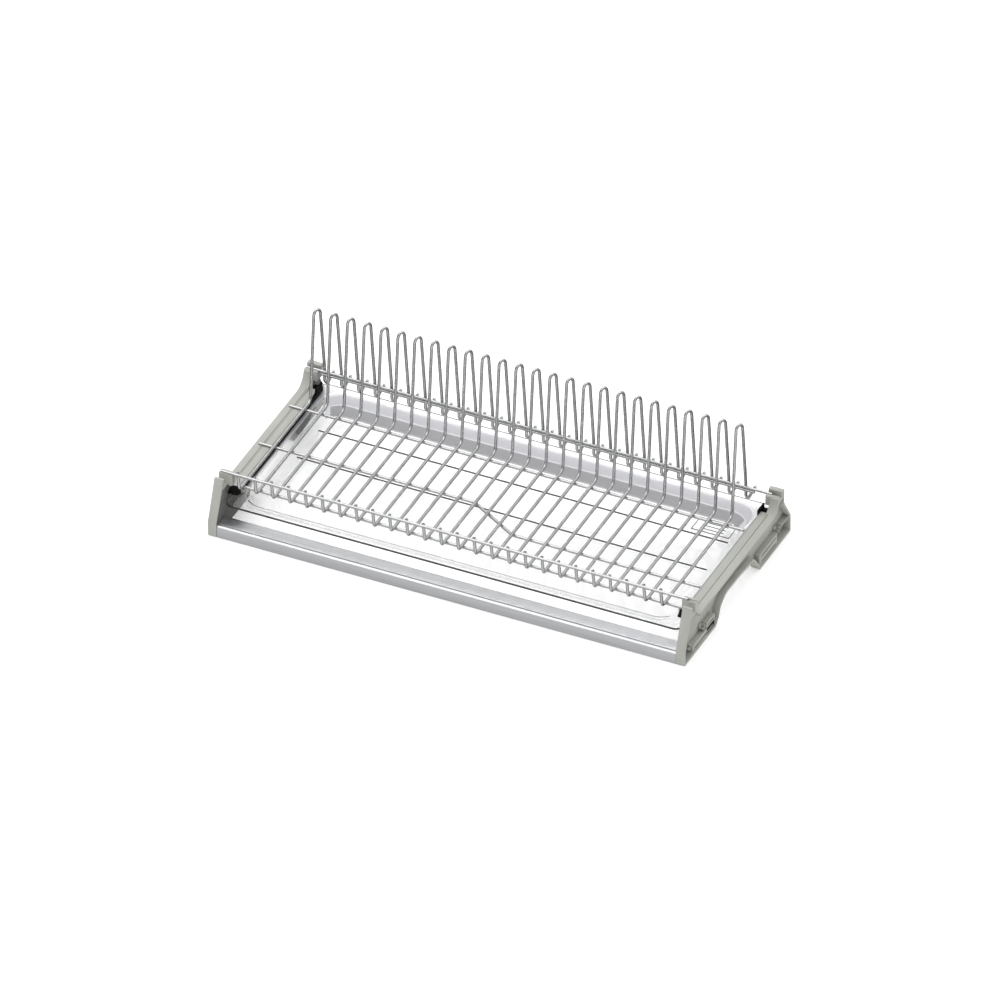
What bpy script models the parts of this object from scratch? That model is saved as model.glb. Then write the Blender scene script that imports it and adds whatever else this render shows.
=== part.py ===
"""Built-in dish drying rack for a wall cabinet: two moulded side brackets, an aluminium front
profile, a clear drip tray on two black guides, and a lift-out wire rack of hairpin plate wires.

Frame: +X to the right, +Y to the back, +Z up, origin at the centre of the footprint on the floor.
Inside this file a place is (a, y, z): a is the distance inwards from a bracket's outer face,
y the distance back from the front face and z the height. All lengths are in metres."""

from math import atan2, cos, hypot, pi, radians, sin

import bmesh
import bpy
from mathutils import Vector

# ---- Driving dimensions ----------------------------------------------------------------------
MM = 0.001
WIDTH = 564 * MM  # outer face to outer face of the brackets
DEPTH = 273 * MM  # front face to the brackets' rear edge
BEAM_TOP = 44.5 * MM  # top of the brackets' long beams
CLIP_RISE = 21.5 * MM  # from the beams up to the top of the clips that carry the rack
LOOP_TOP = 164 * MM  # top of the plate wires' hairpins
GAP = 0.3 * MM  # between pieces that touch

POST_W = 10.5 * MM  # a bracket's width at its posts and web
BEAM_W = 18.5 * MM  # a bracket's width at its beam
CLIP_W = 16.3 * MM  # a bracket's width at its clips
WEB_A = 8 * MM  # depth of the recess in a bracket's outer side
RIM = 2.7 * MM  # thickness of the rim round that recess
STRIP_W = 8.4 * MM  # outer strip of the beam's top, up to the groove

PLATE_PITCH = 20 * MM
WIRE_R = 1.8 * MM
ROD_R = 1.7 * MM
FIRST_WIRE_A = 24 * MM  # first plate wire, from the left bracket's outer face
FREE_END_A = 20 * MM  # least room between the last plate wire and the right beam

TRAY_WALL = 1.8 * MM
TRAY_FLOOR_Z = 20.2 * MM
TRAY_RIM_Z = 35.4 * MM

# ---- Sizes that follow from them -------------------------------------------------------------
HALF_W = WIDTH / 2
CLIP_TOP = BEAM_TOP + CLIP_RISE
FRONT_ROD = (30.2 * MM, CLIP_TOP + 0.1 * MM)  # (y, z) of the rod in the front clips
REAR_ROD = (DEPTH - 26 * MM, CLIP_TOP - 4.5 * MM)  # (y, z) of the rod in the rear clips
WIRE_FLOOR_Z = BEAM_TOP + 4.5 * MM  # centre of the plate wires' level runs
UNDER_ROD_Z = WIRE_FLOOR_Z - WIRE_R - GAP - ROD_R  # rods welded under the level runs
WIRE_BACK_Y = DEPTH - 65 * MM  # where a plate wire turns up
WIRE_COUNT = int((WIDTH - FIRST_WIRE_A - FREE_END_A) / PLATE_PITCH)
SWEEP_R = 18 * MM  # concave sweep from the beam up to the rear clip
SWEEP_Y = DEPTH - 50 * MM  # where that sweep starts
ARCH_FRONT_Y = 0.293 * DEPTH  # where the arch between a bracket's feet starts
ARCH_REAR_Y = 0.7106 * DEPTH  # and where it ends
GUIDE_IN_A = BEAM_W + 1.9 * MM  # inner face of the tray guides
GUIDE_WALL = 1.1 * MM  # the guides' upright wall, beside the tray's rim


# ---- Scene helpers ---------------------------------------------------------------------------
def clear_scene():
    for obj in list(bpy.data.objects):
        bpy.data.objects.remove(obj)


def new_collection(name):
    collection = bpy.data.collections.new(name)
    bpy.context.scene.collection.children.link(collection)
    return collection


def material(name, colour, metallic, roughness, alpha=1.0):
    made = bpy.data.materials.new(name)
    made.use_nodes = True
    shader = made.node_tree.nodes["Principled BSDF"]
    shader.inputs["Base Color"].default_value = (*colour, 1.0)
    shader.inputs["Metallic"].default_value = metallic
    shader.inputs["Roughness"].default_value = roughness
    shader.inputs["Alpha"].default_value = alpha
    return made


def world(side, a, y, z):
    """A place in the bracket's (a, y, z) as world coordinates; side is -1 left, +1 right."""
    return Vector((side * (HALF_W - a), y - DEPTH / 2, z))


def mesh_object(name, mesh, collection):
    obj = bpy.data.objects.new(name, mesh)
    collection.objects.link(obj)
    if collection is CUTTERS:
        obj.hide_render = True
        obj.display_type = "WIRE"
    return obj


def finish(obj, skin, smooth_angle=35):
    obj.data.materials.append(skin)
    if obj.type == "MESH":
        obj.data.shade_smooth()
        obj.data.set_sharp_from_angle(angle=radians(smooth_angle))
    return obj


def curve_to_mesh(curve_object, name, collection):
    """The evaluated curve as a welded, closed mesh object in the same place."""
    bpy.context.view_layer.update()
    graph = bpy.context.evaluated_depsgraph_get()
    mesh = bpy.data.meshes.new_from_object(curve_object.evaluated_get(graph))
    mesh.name = name
    work = bmesh.new()
    work.from_mesh(mesh)
    bmesh.ops.remove_doubles(work, verts=work.verts, dist=1e-6)
    bmesh.ops.recalc_face_normals(work, faces=work.faces)
    work.to_mesh(mesh)
    work.free()
    obj = mesh_object(name, mesh, collection)
    obj.matrix_world = curve_object.matrix_world.copy()
    bpy.data.objects.remove(curve_object)
    return obj


def boolean(target, other, operation):
    modifier = target.modifiers.new(f"{operation.title()} {other.name}", "BOOLEAN")
    modifier.object = other
    modifier.operation = operation
    modifier.solver = "EXACT"


# ---- Shape helpers ---------------------------------------------------------------------------
def fillet(points, steps=3):
    """The closed outline with each corner (y, z, radius) rounded by an arc of that radius."""
    outline = []
    for i, (y, z, r) in enumerate(points):
        before, after = points[i - 1], points[(i + 1) % len(points)]
        corner = Vector((y, z))
        if r <= 0:
            outline.append(corner)
            continue
        d0 = (Vector(before[:2]) - corner).normalized()
        d1 = (Vector(after[:2]) - corner).normalized()
        half = d0.angle(d1) / 2
        tangent = r / abs(sin(half) / cos(half))
        centre = corner + (d0 + d1).normalized() * (r / sin(half))
        start = corner + d0 * tangent - centre
        end = corner + d1 * tangent - centre
        turn = start.angle_signed(end)
        for s in range(steps + 1):
            angle = -turn * s / steps
            spun = Vector((start.x * cos(angle) - start.y * sin(angle),
                           start.x * sin(angle) + start.y * cos(angle)))
            outline.append(centre + spun)
    return outline


def prism(name, outline, side, a0, a1, collection):
    """An outline in (y, z), extruded sideways from a0 to a1 of one bracket."""
    curve = bpy.data.curves.new(f"{name}_outline", "CURVE")
    curve.dimensions = "2D"
    curve.fill_mode = "BOTH"
    curve.extrude = abs(a1 - a0) / 2
    spline = curve.splines.new("POLY")
    spline.points.add(len(outline) - 1)
    for point, (y, z) in zip(spline.points, outline):
        point.co = (y, z, 0, 1)
    spline.use_cyclic_u = True
    holder = bpy.data.objects.new(f"{name}_outline", curve)
    collection.objects.link(holder)
    holder.location = world(side, (a0 + a1) / 2, 0, 0)
    holder.rotation_euler = (pi / 2, 0, pi / 2)  # local x to world Y, local y to world Z
    return curve_to_mesh(holder, name, collection)


def block(name, side, a, y, z, collection):
    """A box between the pairs a, y and z."""
    mesh = bpy.data.meshes.new(name)
    work = bmesh.new()
    bmesh.ops.create_cube(work, size=1)
    size = (abs(a[1] - a[0]), y[1] - y[0], z[1] - z[0])
    bmesh.ops.scale(work, vec=size, verts=work.verts)
    work.to_mesh(mesh)
    work.free()
    obj = mesh_object(name, mesh, collection)
    obj.location = world(side, sum(a) / 2, sum(y) / 2, sum(z) / 2)
    return obj


def cylinder(name, side, a, y, z, radius, collection, segments=20):
    """A cylinder along X between the pair a, centred on y, z."""
    mesh = bpy.data.meshes.new(name)
    work = bmesh.new()
    bmesh.ops.create_cone(work, cap_ends=True, segments=segments, radius1=radius,
                          radius2=radius, depth=abs(a[1] - a[0]))
    work.to_mesh(mesh)
    work.free()
    obj = mesh_object(name, mesh, collection)
    obj.location = world(side, sum(a) / 2, y, z)
    obj.rotation_euler = (0, pi / 2, 0)
    return obj


def wire(name, points, radius, origin, collection, skin):
    """A round wire through world-space points, kept as a bevelled curve."""
    curve = bpy.data.curves.new(name, "CURVE")
    curve.dimensions = "3D"
    curve.bevel_depth = radius
    curve.bevel_resolution = 2
    curve.use_fill_caps = True
    spline = curve.splines.new("POLY")
    spline.points.add(len(points) - 1)
    for point, place in zip(spline.points, points):
        point.co = (*(place - origin), 1)
    curve.materials.append(skin)
    obj = bpy.data.objects.new(name, curve)
    obj.location = origin
    collection.objects.link(obj)
    return obj


def bend(before, corner, after, radius, steps):
    """Points of an arc that rounds the corner of a path in space."""
    d0 = (before - corner).normalized()
    d1 = (after - corner).normalized()
    half = d0.angle(d1) / 2
    tangent = radius * cos(half) / sin(half)
    centre = corner + (d0 + d1).normalized() * (radius / sin(half))
    start = corner + d0 * tangent - centre
    end = corner + d1 * tangent - centre
    turn = start.angle(end)
    parts = [turn * s / steps for s in range(steps + 1)]
    return [centre + (start * sin(turn - t) + end * sin(t)) / sin(turn) for t in parts]


# ---- Brackets --------------------------------------------------------------------------------
ARCH_Z = 26 * MM  # top of the arch under the beam


def sweep(radius, last_degrees, steps=5):
    """The concave curve from the beam's top up to the rear clip."""
    centre_z = BEAM_TOP + SWEEP_R
    angles = [radians(last_degrees) * s / steps for s in range(steps + 1)]
    return [(SWEEP_Y + radius * sin(t), centre_z - radius * cos(t), 0) for t in angles]


def bracket_outline():
    clip_floor = CLIP_TOP - 11 * MM
    front_clip = [
        (35 * MM, BEAM_TOP, 0), (35 * MM, CLIP_TOP, 0), (27.4 * MM, CLIP_TOP, 0.6 * MM),
        (27.4 * MM, clip_floor, 1 * MM), (20.4 * MM, clip_floor, 1 * MM),
        (20.4 * MM, CLIP_TOP - 1.6 * MM, 0), (17 * MM, CLIP_TOP - 1 * MM, 0.8 * MM),
    ]
    rear = [
        (DEPTH, 0, 1 * MM), (DEPTH, 21 * MM, 3 * MM),
        (DEPTH - 17 * MM, BEAM_TOP + 3.5 * MM, 3 * MM),
        (DEPTH - 17 * MM, CLIP_TOP, 0.8 * MM), (DEPTH - 23.4 * MM, CLIP_TOP, 0.8 * MM),
        (DEPTH - 23.4 * MM, REAR_ROD[1] - 2.5 * MM, 0.6 * MM),
        (DEPTH - 28.6 * MM, REAR_ROD[1] - 2.5 * MM, 0.6 * MM),
        (DEPTH - 28.6 * MM, CLIP_TOP - 3 * MM, 0),
    ]
    arch = [
        (ARCH_FRONT_Y, 0, 1 * MM), (ARCH_FRONT_Y + 8 * MM, 7 * MM, 4 * MM),
        (ARCH_FRONT_Y + 12.5 * MM, 18 * MM, 8 * MM), (ARCH_FRONT_Y + 26 * MM, ARCH_Z, 14 * MM),
        (DEPTH * 0.5, ARCH_Z, 60 * MM), (ARCH_REAR_Y - 17 * MM, ARCH_Z - 3.8 * MM, 8 * MM),
        (ARCH_REAR_Y, 0, 1 * MM),
    ]
    front = [(0, 18.5 * MM, 2 * MM), (0, 0, 1 * MM)]
    return fillet(front + arch + rear + sweep(SWEEP_R, 84)[::-1] + front_clip)


def recess_outline():
    arch_z = ARCH_Z + RIM
    rear_z, post_z = CLIP_TOP - 9.8 * MM, CLIP_TOP - 14 * MM
    lower = [
        (RIM, RIM, 1 * MM), (ARCH_FRONT_Y - 1.5 * MM, RIM, 1 * MM),
        (ARCH_FRONT_Y + 5.4 * MM, 8.6 * MM, 3 * MM), (ARCH_FRONT_Y + 10 * MM, 19.6 * MM, 8 * MM),
        (ARCH_FRONT_Y + 25 * MM, arch_z, 14 * MM), (DEPTH * 0.5, arch_z, 60 * MM),
        (ARCH_REAR_Y - 15.8 * MM, arch_z - 3.8 * MM, 8 * MM), (ARCH_REAR_Y + 2 * MM, RIM, 1 * MM),
    ]
    rear = [
        (DEPTH - RIM, RIM, 1 * MM), (DEPTH - RIM, 20.2 * MM, 2 * MM),
        (DEPTH - 17 * MM - RIM, BEAM_TOP + 2.5 * MM, 2 * MM),
        (DEPTH - 17 * MM - RIM, rear_z, 1 * MM), (DEPTH - 29.5 * MM, rear_z, 0),
    ]
    swept = sweep(SWEEP_R + RIM, 62)[::-1]
    post = [
        (37 * MM, BEAM_TOP - RIM, 1 * MM), (32.4 * MM, BEAM_TOP - RIM + 5 * MM, 1 * MM),
        (32.4 * MM, post_z, 1 * MM), (15.4 * MM, post_z, 1 * MM), (3.3 * MM, 19.2 * MM, 2 * MM),
    ]
    return fillet(lower + rear + swept + post)


def make_bracket(name, side, skin):
    """One moulded bracket: rimmed side plate, beam with an inner shelf, two clips and ribs."""
    body = prism(name, bracket_outline(), side, 0, POST_W, PARTS)
    tag = name[:1]

    def add(other):
        boolean(body, other, "UNION")

    def cut(other):
        boolean(body, other, "DIFFERENCE")

    cut(prism(f"{tag}_recess", recess_outline(), side, -2 * MM, WEB_A, CUTTERS))

    shelf = fillet([(38 * MM, BEAM_TOP - 3 * MM, 0), (38 * MM, BEAM_TOP - 0.4 * MM, 0.8 * MM),
                    (DEPTH - 37 * MM, BEAM_TOP - 0.4 * MM, 0.8 * MM),
                    (DEPTH - 37 * MM, BEAM_TOP - 3 * MM, 0)])
    add(prism(f"{tag}_shelf", shelf, side, POST_W - 2 * MM, BEAM_W, CUTTERS))
    add(block(f"{tag}_front_jaw", side, (POST_W - 2 * MM, CLIP_W), (27.6 * MM, 34.8 * MM),
              (CLIP_TOP - 14 * MM, CLIP_TOP - 0.2 * MM), CUTTERS))
    jaw_z = BEAM_TOP + 5.5 * MM
    rear_jaw = fillet([
        (DEPTH - 17.2 * MM, jaw_z, 0), (DEPTH - 17.2 * MM, CLIP_TOP - 0.2 * MM, 0.6 * MM),
        (DEPTH - 23.2 * MM, CLIP_TOP - 0.2 * MM, 0.6 * MM),
        (DEPTH - 23.2 * MM, REAR_ROD[1] - 2.7 * MM, 0), (DEPTH - 28.8 * MM, REAR_ROD[1] - 2.7 * MM, 0),
        (DEPTH - 28.8 * MM, CLIP_TOP - 3.4 * MM, 0), (DEPTH - 31.5 * MM, CLIP_TOP - 3.8 * MM, 0),
        (DEPTH - 31.5 * MM, jaw_z, 0)])
    add(prism(f"{tag}_rear_jaw", rear_jaw, side, POST_W - 2 * MM, CLIP_W, CUTTERS))
    rest_z = UNDER_ROD_Z - ROD_R - GAP
    add(block(f"{tag}_rest", side, (POST_W - 2 * MM, BEAM_W + 6.5 * MM), (38.4 * MM, 44.6 * MM),
              (rest_z - 5 * MM, rest_z), CUTTERS))

    add(block(f"{tag}_rear_rib", side, (1 * MM, WEB_A + 1 * MM), (DEPTH - 22 * MM, DEPTH - 1.5 * MM),
              (19.2 * MM, 20.6 * MM), CUTTERS))
    for i, (y0, y1, top) in enumerate(FOOT_BOSSES):
        add(block(f"{tag}_foot_{i}", side, (1.6 * MM, WEB_A + 1 * MM), (y0, y1), (1 * MM, top),
                  CUTTERS))
    for i, (y0, y1, low) in enumerate(FOOT_SLOTS):
        cut(block(f"{tag}_foot_slot_{i}", side, (-1 * MM, 6 * MM), (y0, y1),
                  (low, low + 2 * MM), CUTTERS))
    cut(block(f"{tag}_strip_end", side, (-1 * MM, WEB_A + 0.1 * MM), (35.2 * MM, 38.4 * MM),
              (37 * MM, BEAM_TOP + 4 * MM), CUTTERS))

    cut(block(f"{tag}_groove", side, (STRIP_W, STRIP_W + 0.7 * MM), (35.4 * MM, DEPTH - 42 * MM),
              (BEAM_TOP - 1.2 * MM, BEAM_TOP + 30 * MM), CUTTERS))
    cut(cylinder(f"{tag}_front_seat", side, (-2 * MM, BEAM_W + 4 * MM), *FRONT_ROD,
                 ROD_R + GAP, CUTTERS))
    if side < 0:
        for i, y in enumerate((MID_ROD_LEFT_Y, REAR_UNDER_Y)):
            cut(cylinder(f"{tag}_saddle_{i}", side, (4.5 * MM, BEAM_W + 3 * MM), y, UNDER_ROD_Z,
                         ROD_R + GAP, CUTTERS, segments=16))
    for i, (y, z) in enumerate(SCREW_PLACES):
        cut(cylinder(f"{tag}_screw_hole_{i}", side, (WEB_A - 3 * MM, POST_W + 1 * MM), y, z,
                     2.2 * MM, CUTTERS, segments=12))
    return finish(body, skin, 28)


SCREW_PLACES = ((DEPTH - 26.5 * MM, 18 * MM), (ARCH_FRONT_Y - 25.5 * MM, 15.5 * MM),
                (18 * MM, 13 * MM))
FOOT_BOSSES = ((24 * MM, ARCH_FRONT_Y - 0.5 * MM, 10.5 * MM),
               (ARCH_FRONT_Y - 20 * MM, ARCH_FRONT_Y + 0.5 * MM, 17 * MM),
               (ARCH_REAR_Y + 1.2 * MM, DEPTH - 32 * MM, 17 * MM))  # y, y, top
FOOT_SLOTS = ((28 * MM, ARCH_FRONT_Y - 4 * MM, 4.2 * MM),
              (ARCH_FRONT_Y - 17 * MM, ARCH_FRONT_Y - 2 * MM, 11.8 * MM),
              (ARCH_REAR_Y + 7 * MM, DEPTH - 36 * MM, 4.2 * MM),
              (ARCH_REAR_Y + 7 * MM, DEPTH - 36 * MM, 11.8 * MM))  # y, y, low


def make_screw(name, side, y, z, skin):
    """A fixing screw through the bracket's web: round collar, crossed wings to turn it by."""
    head_a = WEB_A - GAP
    body = cylinder(name, side, (head_a - 2.2 * MM, head_a), y, z, 3.9 * MM, PARTS)
    tag = f"{name}_tool"
    shank = cylinder(f"{tag}_shank", side, (head_a - 1 * MM, POST_W - GAP), y, z, 1.7 * MM,
                     CUTTERS, segments=12)
    boolean(body, shank, "UNION")
    for i, (dy, dz) in enumerate(((4.4 * MM, 0.9 * MM), (0.95 * MM, 4.3 * MM))):
        wing = block(f"{tag}_wing_{i}", side, (1 * MM + i * 0.1 * MM, head_a - 1 * MM),
                     (y - dy, y + dy), (z - dz, z + dz), CUTTERS)
        boolean(body, wing, "UNION")
    return finish(body, skin, 30)


# ---- Front profile ---------------------------------------------------------------------------
def make_front_profile(skin):
    """An open aluminium extrusion between the posts: face, rounded shoulder, groove and top."""
    wall = 1.6 * MM
    front, top, back = 0.5 * MM, 15.6 * MM, 20.4 * MM
    section = [
        (front, 0, 0), (front, top - 2.4 * MM, 0.4 * MM), (front + 1.7 * MM, top - 0.7 * MM, 0.3 * MM),
        (front + 2.1 * MM, top - 0.7 * MM, 0), (front + 2.1 * MM, top - 1.7 * MM, 0),
        (front + 3.3 * MM, top - 1.7 * MM, 0), (front + 3.3 * MM, top, 0),
        (back, top, 0.5 * MM), (back, top - 6 * MM, 0), (back - wall, top - 6 * MM, 0),
        (back - wall, top - wall, 0), (front + 5 * MM, top - wall, 0),
        (front + 5 * MM, top - 3.4 * MM, 0), (front + 3.4 * MM, top - 4 * MM, 0),
        (front + wall, 9 * MM, 0), (front + wall, 0, 0),
    ]
    inset = POST_W + GAP
    body = prism("front_profile", fillet(section[::-1]), 1, inset, WIDTH - inset, PARTS)
    return finish(body, skin, 25)


# ---- Drip tray and its guides ----------------------------------------------------------------
def make_tray_guide(name, side, skin):
    """A black channel under the beam's inner shelf; the tray's rim slides in its groove."""
    web_a = (POST_W + GAP, POST_W + GAP + GUIDE_WALL)
    ends = (45.5 * MM, DEPTH - 25.5 * MM)
    top_z = BEAM_TOP - 3 * MM - GAP
    tag = name[:1]
    body = block(name, side, (web_a[0], GUIDE_IN_A), ends, (TRAY_RIM_Z - TRAY_WALL - 1.8 * MM, top_z), PARTS)
    groove = block(f"{tag}_guide_groove", side, (web_a[1], GUIDE_IN_A + 2 * MM),
                   (ends[0] - 1 * MM, DEPTH - 10.3 * MM),
                   (TRAY_RIM_Z - TRAY_WALL - GAP, TRAY_RIM_Z + GAP), CUTTERS)
    boolean(body, groove, "DIFFERENCE")
    stop = block(f"{tag}_guide_stop", side, (BEAM_W + GAP, GUIDE_IN_A),
                 (DEPTH - 43 * MM, DEPTH - 27.5 * MM), (TRAY_RIM_Z + 2 * MM, BEAM_TOP + 4 * MM),
                 CUTTERS)
    boolean(body, stop, "UNION")
    return finish(body, skin, 30)


def rounded_rectangle(half_x, y0, y1, radius, steps=5):
    """Corner arcs of a rectangle in plan, as world (x, y), anticlockwise."""
    centres = [(half_x - radius, y0 + radius, -pi / 2), (half_x - radius, y1 - radius, 0),
               (radius - half_x, y1 - radius, pi / 2), (radius - half_x, y0 + radius, pi)]
    return [(cx + radius * cos(start + pi / 2 * s / steps),
             cy + radius * sin(start + pi / 2 * s / steps) - DEPTH / 2)
            for cx, cy, start in centres for s in range(steps + 1)]


def make_drip_tray(skin):
    """A clear tray: flat rim, sloped walls and a floor with two shallow ribs.

    Its outer and inner skins are rings of one plan shape, lofted from the rim to the floor."""
    rim_half = HALF_W - POST_W - GUIDE_WALL - 2 * GAP
    well_half = HALF_W - BEAM_W - 7.5 * MM
    y0, y1 = 14 * MM, DEPTH - 11 * MM
    top, floor = TRAY_RIM_Z, TRAY_FLOOR_Z
    slope = 12 * MM  # how far the side and front walls lean in by the floor
    rear_top, rear_slope = y1 - 8 * MM, 26 * MM  # the rear wall is longer and flatter
    rings = [
        (rounded_rectangle(rim_half, y0, y1, 9 * MM), top - TRAY_WALL),
        (rounded_rectangle(rim_half, y0, y1, 9 * MM), top),
        (rounded_rectangle(well_half, y0 + 12 * MM, rear_top, 24 * MM), top),
        (rounded_rectangle(well_half - slope, y0 + 12 * MM + slope, rear_top - rear_slope, 20 * MM),
         floor + TRAY_WALL),
        (rounded_rectangle(well_half - slope, y0 + 12 * MM + slope, rear_top - rear_slope, 20 * MM),
         floor),
        (rounded_rectangle(well_half + TRAY_WALL, y0 + 12 * MM - TRAY_WALL,
                           rear_top + TRAY_WALL, 25.8 * MM), top - TRAY_WALL),
    ]
    work = bmesh.new()
    loops = [[work.verts.new((x, y, z)) for x, y in plan] for plan, z in rings]
    count = len(loops[0])
    for lower, upper in ((0, 1), (1, 2), (2, 3), (4, 5), (5, 0)):
        for i in range(count):
            j = (i + 1) % count
            work.faces.new((loops[lower][i], loops[lower][j], loops[upper][j], loops[upper][i]))
    work.faces.new(loops[3])
    work.faces.new(loops[4])
    bmesh.ops.recalc_face_normals(work, faces=work.faces)
    mesh = bpy.data.meshes.new("drip_tray")
    work.to_mesh(mesh)
    work.free()
    body = mesh_object("drip_tray", mesh, PARTS)
    rib_a = HALF_W - well_half + slope + 8 * MM
    for i, y in enumerate((DEPTH - 132 * MM, DEPTH - 78 * MM)):
        rib = block(f"tray_rib_{i}", 1, (rib_a, WIDTH - rib_a), (y, y + 1.6 * MM),
                    (floor + TRAY_WALL - 0.6 * MM, floor + TRAY_WALL + 1 * MM), CUTTERS)
        boolean(body, rib, "UNION")
    return finish(body, skin, 30)


# ---- Wire rack -------------------------------------------------------------------------------
MID_ROD_LEFT_Y = 119 * MM
MID_ROD_RIGHT_Y = 82 * MM
REAR_UNDER_Y = WIRE_BACK_Y - 13 * MM


def plate_wire_points(x):
    """One plate wire: front tip, level run, front leg of the hairpin, back leg, hooked end."""
    def at(dx, y, z):
        return Vector((x + dx, y - DEPTH / 2, z))

    tip = at(-4.2 * MM, FRONT_ROD[0] + ROD_R + WIRE_R + 0.9 * MM, FRONT_ROD[1] + 0.9 * MM)
    heel = at(0, FRONT_ROD[0] - 1 * MM, WIRE_FLOOR_Z)
    turn = at(0, WIRE_BACK_Y, WIRE_FLOOR_Z)
    crown_rise = 7.2 * MM
    shoulder_z = LOOP_TOP - WIRE_R - crown_rise
    left = at(0, WIRE_BACK_Y + 9 * MM, shoulder_z)
    right = at(4.2 * MM, WIRE_BACK_Y + 17.1 * MM, shoulder_z)
    behind_y = REAR_ROD[0] + ROD_R + WIRE_R + GAP
    knee = at(-3.3 * MM, behind_y, REAR_ROD[1] + 3 * MM)
    hook = at(-3.0 * MM, behind_y, REAR_ROD[1] - 23 * MM)
    end = at(8.2 * MM, behind_y, REAR_ROD[1] + 1.6 * MM)

    middle = (left + right) / 2
    across = (left - right) / 2
    rise = Vector((0, 0, crown_rise))
    crown_steps = 6
    crown = [middle + across * cos(pi * s / crown_steps) + rise * sin(pi * s / crown_steps)
             for s in range(crown_steps + 1)]
    return ([tip] + bend(tip, heel, turn, 2.6 * MM, 2) + bend(heel, turn, left, 7 * MM, 3)
            + crown + [knee] + bend(knee, hook, end, 2.1 * MM, 3) + [end])


def make_plate_wires(skin):
    for i in range(WIRE_COUNT):
        x = -HALF_W + FIRST_WIRE_A + PLATE_PITCH * i
        origin = Vector((x, WIRE_BACK_Y - DEPTH / 2, WIRE_FLOOR_Z))
        wire(f"plate_wire_{i + 1:02d}", plate_wire_points(x), WIRE_R, origin, PARTS, skin)


def make_rod(name, points, skin):
    places = [Vector((x, y - DEPTH / 2, z)) for x, y, z in points]
    return wire(name, places, ROD_R, places[0], PARTS, skin)


def make_rods(skin):
    """Five rods that carry the plate wires, and a sixth that ties their hooked ends."""
    left_end, right_end = -HALF_W + 1 * MM, HALF_W - 10.5 * MM
    saddle_end = -HALF_W + 5.5 * MM
    inner_end = HALF_W - BEAM_W - 1.5 * MM
    first_x = -HALF_W + FIRST_WIRE_A
    last_x = first_x + PLATE_PITCH * (WIRE_COUNT - 1)
    jog_x = first_x + PLATE_PITCH * (WIRE_COUNT // 2 - 1) - 3 * MM
    tie_z = REAR_ROD[1] - 2 * ROD_R - GAP

    make_rod("front_upper_rod", [(left_end, *FRONT_ROD), (right_end, *FRONT_ROD)], skin)
    make_rod("front_lower_rod", [(-HALF_W + BEAM_W + 2.5 * MM, 40 * MM, UNDER_ROD_Z),
                                 (HALF_W - BEAM_W - 1 * MM, 40 * MM, UNDER_ROD_Z)], skin)
    middle = [(saddle_end, MID_ROD_LEFT_Y, UNDER_ROD_Z), (jog_x, MID_ROD_LEFT_Y, UNDER_ROD_Z),
              (jog_x + 62 * MM, MID_ROD_RIGHT_Y, UNDER_ROD_Z),
              (inner_end, MID_ROD_RIGHT_Y, UNDER_ROD_Z)]
    corners = [Vector(p) for p in middle]
    path = ([corners[0]] + bend(*corners[:3], 12 * MM, 3) + bend(*corners[1:], 12 * MM, 3)
            + [corners[3]])
    make_rod("middle_rod", path, skin)
    make_rod("rear_bottom_rod", [(saddle_end, REAR_UNDER_Y, UNDER_ROD_Z),
                                 (inner_end, REAR_UNDER_Y, UNDER_ROD_Z)], skin)
    make_rod("rear_hanging_rod", [(left_end, *REAR_ROD), (right_end, *REAR_ROD)], skin)
    make_rod("rear_tie_rod", [(first_x - 4.4 * MM, REAR_ROD[0], tie_z),
                              (last_x + 9 * MM, REAR_ROD[0], tie_z)], skin)


# ---- Build -----------------------------------------------------------------------------------
clear_scene()
PARTS = new_collection("dish_drying_rack")
CUTTERS = new_collection("cutters")

PLASTIC = material("grey_plastic", (0.56, 0.57, 0.53), 0.0, 0.45)
ALUMINIUM = material("brushed_aluminium", (0.72, 0.72, 0.73), 1.0, 0.35)
BLACK = material("black_guide", (0.02, 0.02, 0.02), 0.0, 0.5)
CLEAR = material("clear_tray", (0.93, 0.94, 0.96), 0.0, 0.05, 0.3)
CHROME = material("chromed_wire", (0.62, 0.63, 0.64), 1.0, 0.18)
STEEL = material("zinc_screw", (0.66, 0.66, 0.64), 1.0, 0.3)

for side_name, side_sign in (("left", -1), ("right", 1)):
    make_bracket(f"{side_name}_bracket", side_sign, PLASTIC)
    make_tray_guide(f"{side_name}_tray_guide", side_sign, BLACK)
    for number, (screw_y, screw_z) in enumerate(SCREW_PLACES, start=1):
        make_screw(f"{side_name}_screw_{number}", side_sign, screw_y, screw_z, STEEL)
make_front_profile(ALUMINIUM)
make_drip_tray(CLEAR)
make_plate_wires(CHROME)
make_rods(CHROME)
bpy.context.view_layer.update()
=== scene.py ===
# %% [markdown]
# # A dish drying rack that hangs inside a wall cabinet
#
# Two moulded grey brackets screw to the sides of a cupboard. An aluminium profile ties them
# together at the front, a clear tray catches the drips, and a rack of chromed wire stands on
# top: twenty-six hairpins that hold the plates upright, welded to six rods.
#
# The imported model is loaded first. It fixes every size and every moving body, so the pieces
# made below only have to go where it says. Lengths are in metres, X runs to the right, Y to
# the back and Z up, and the origin is on the floor at the middle of the footprint.

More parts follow.
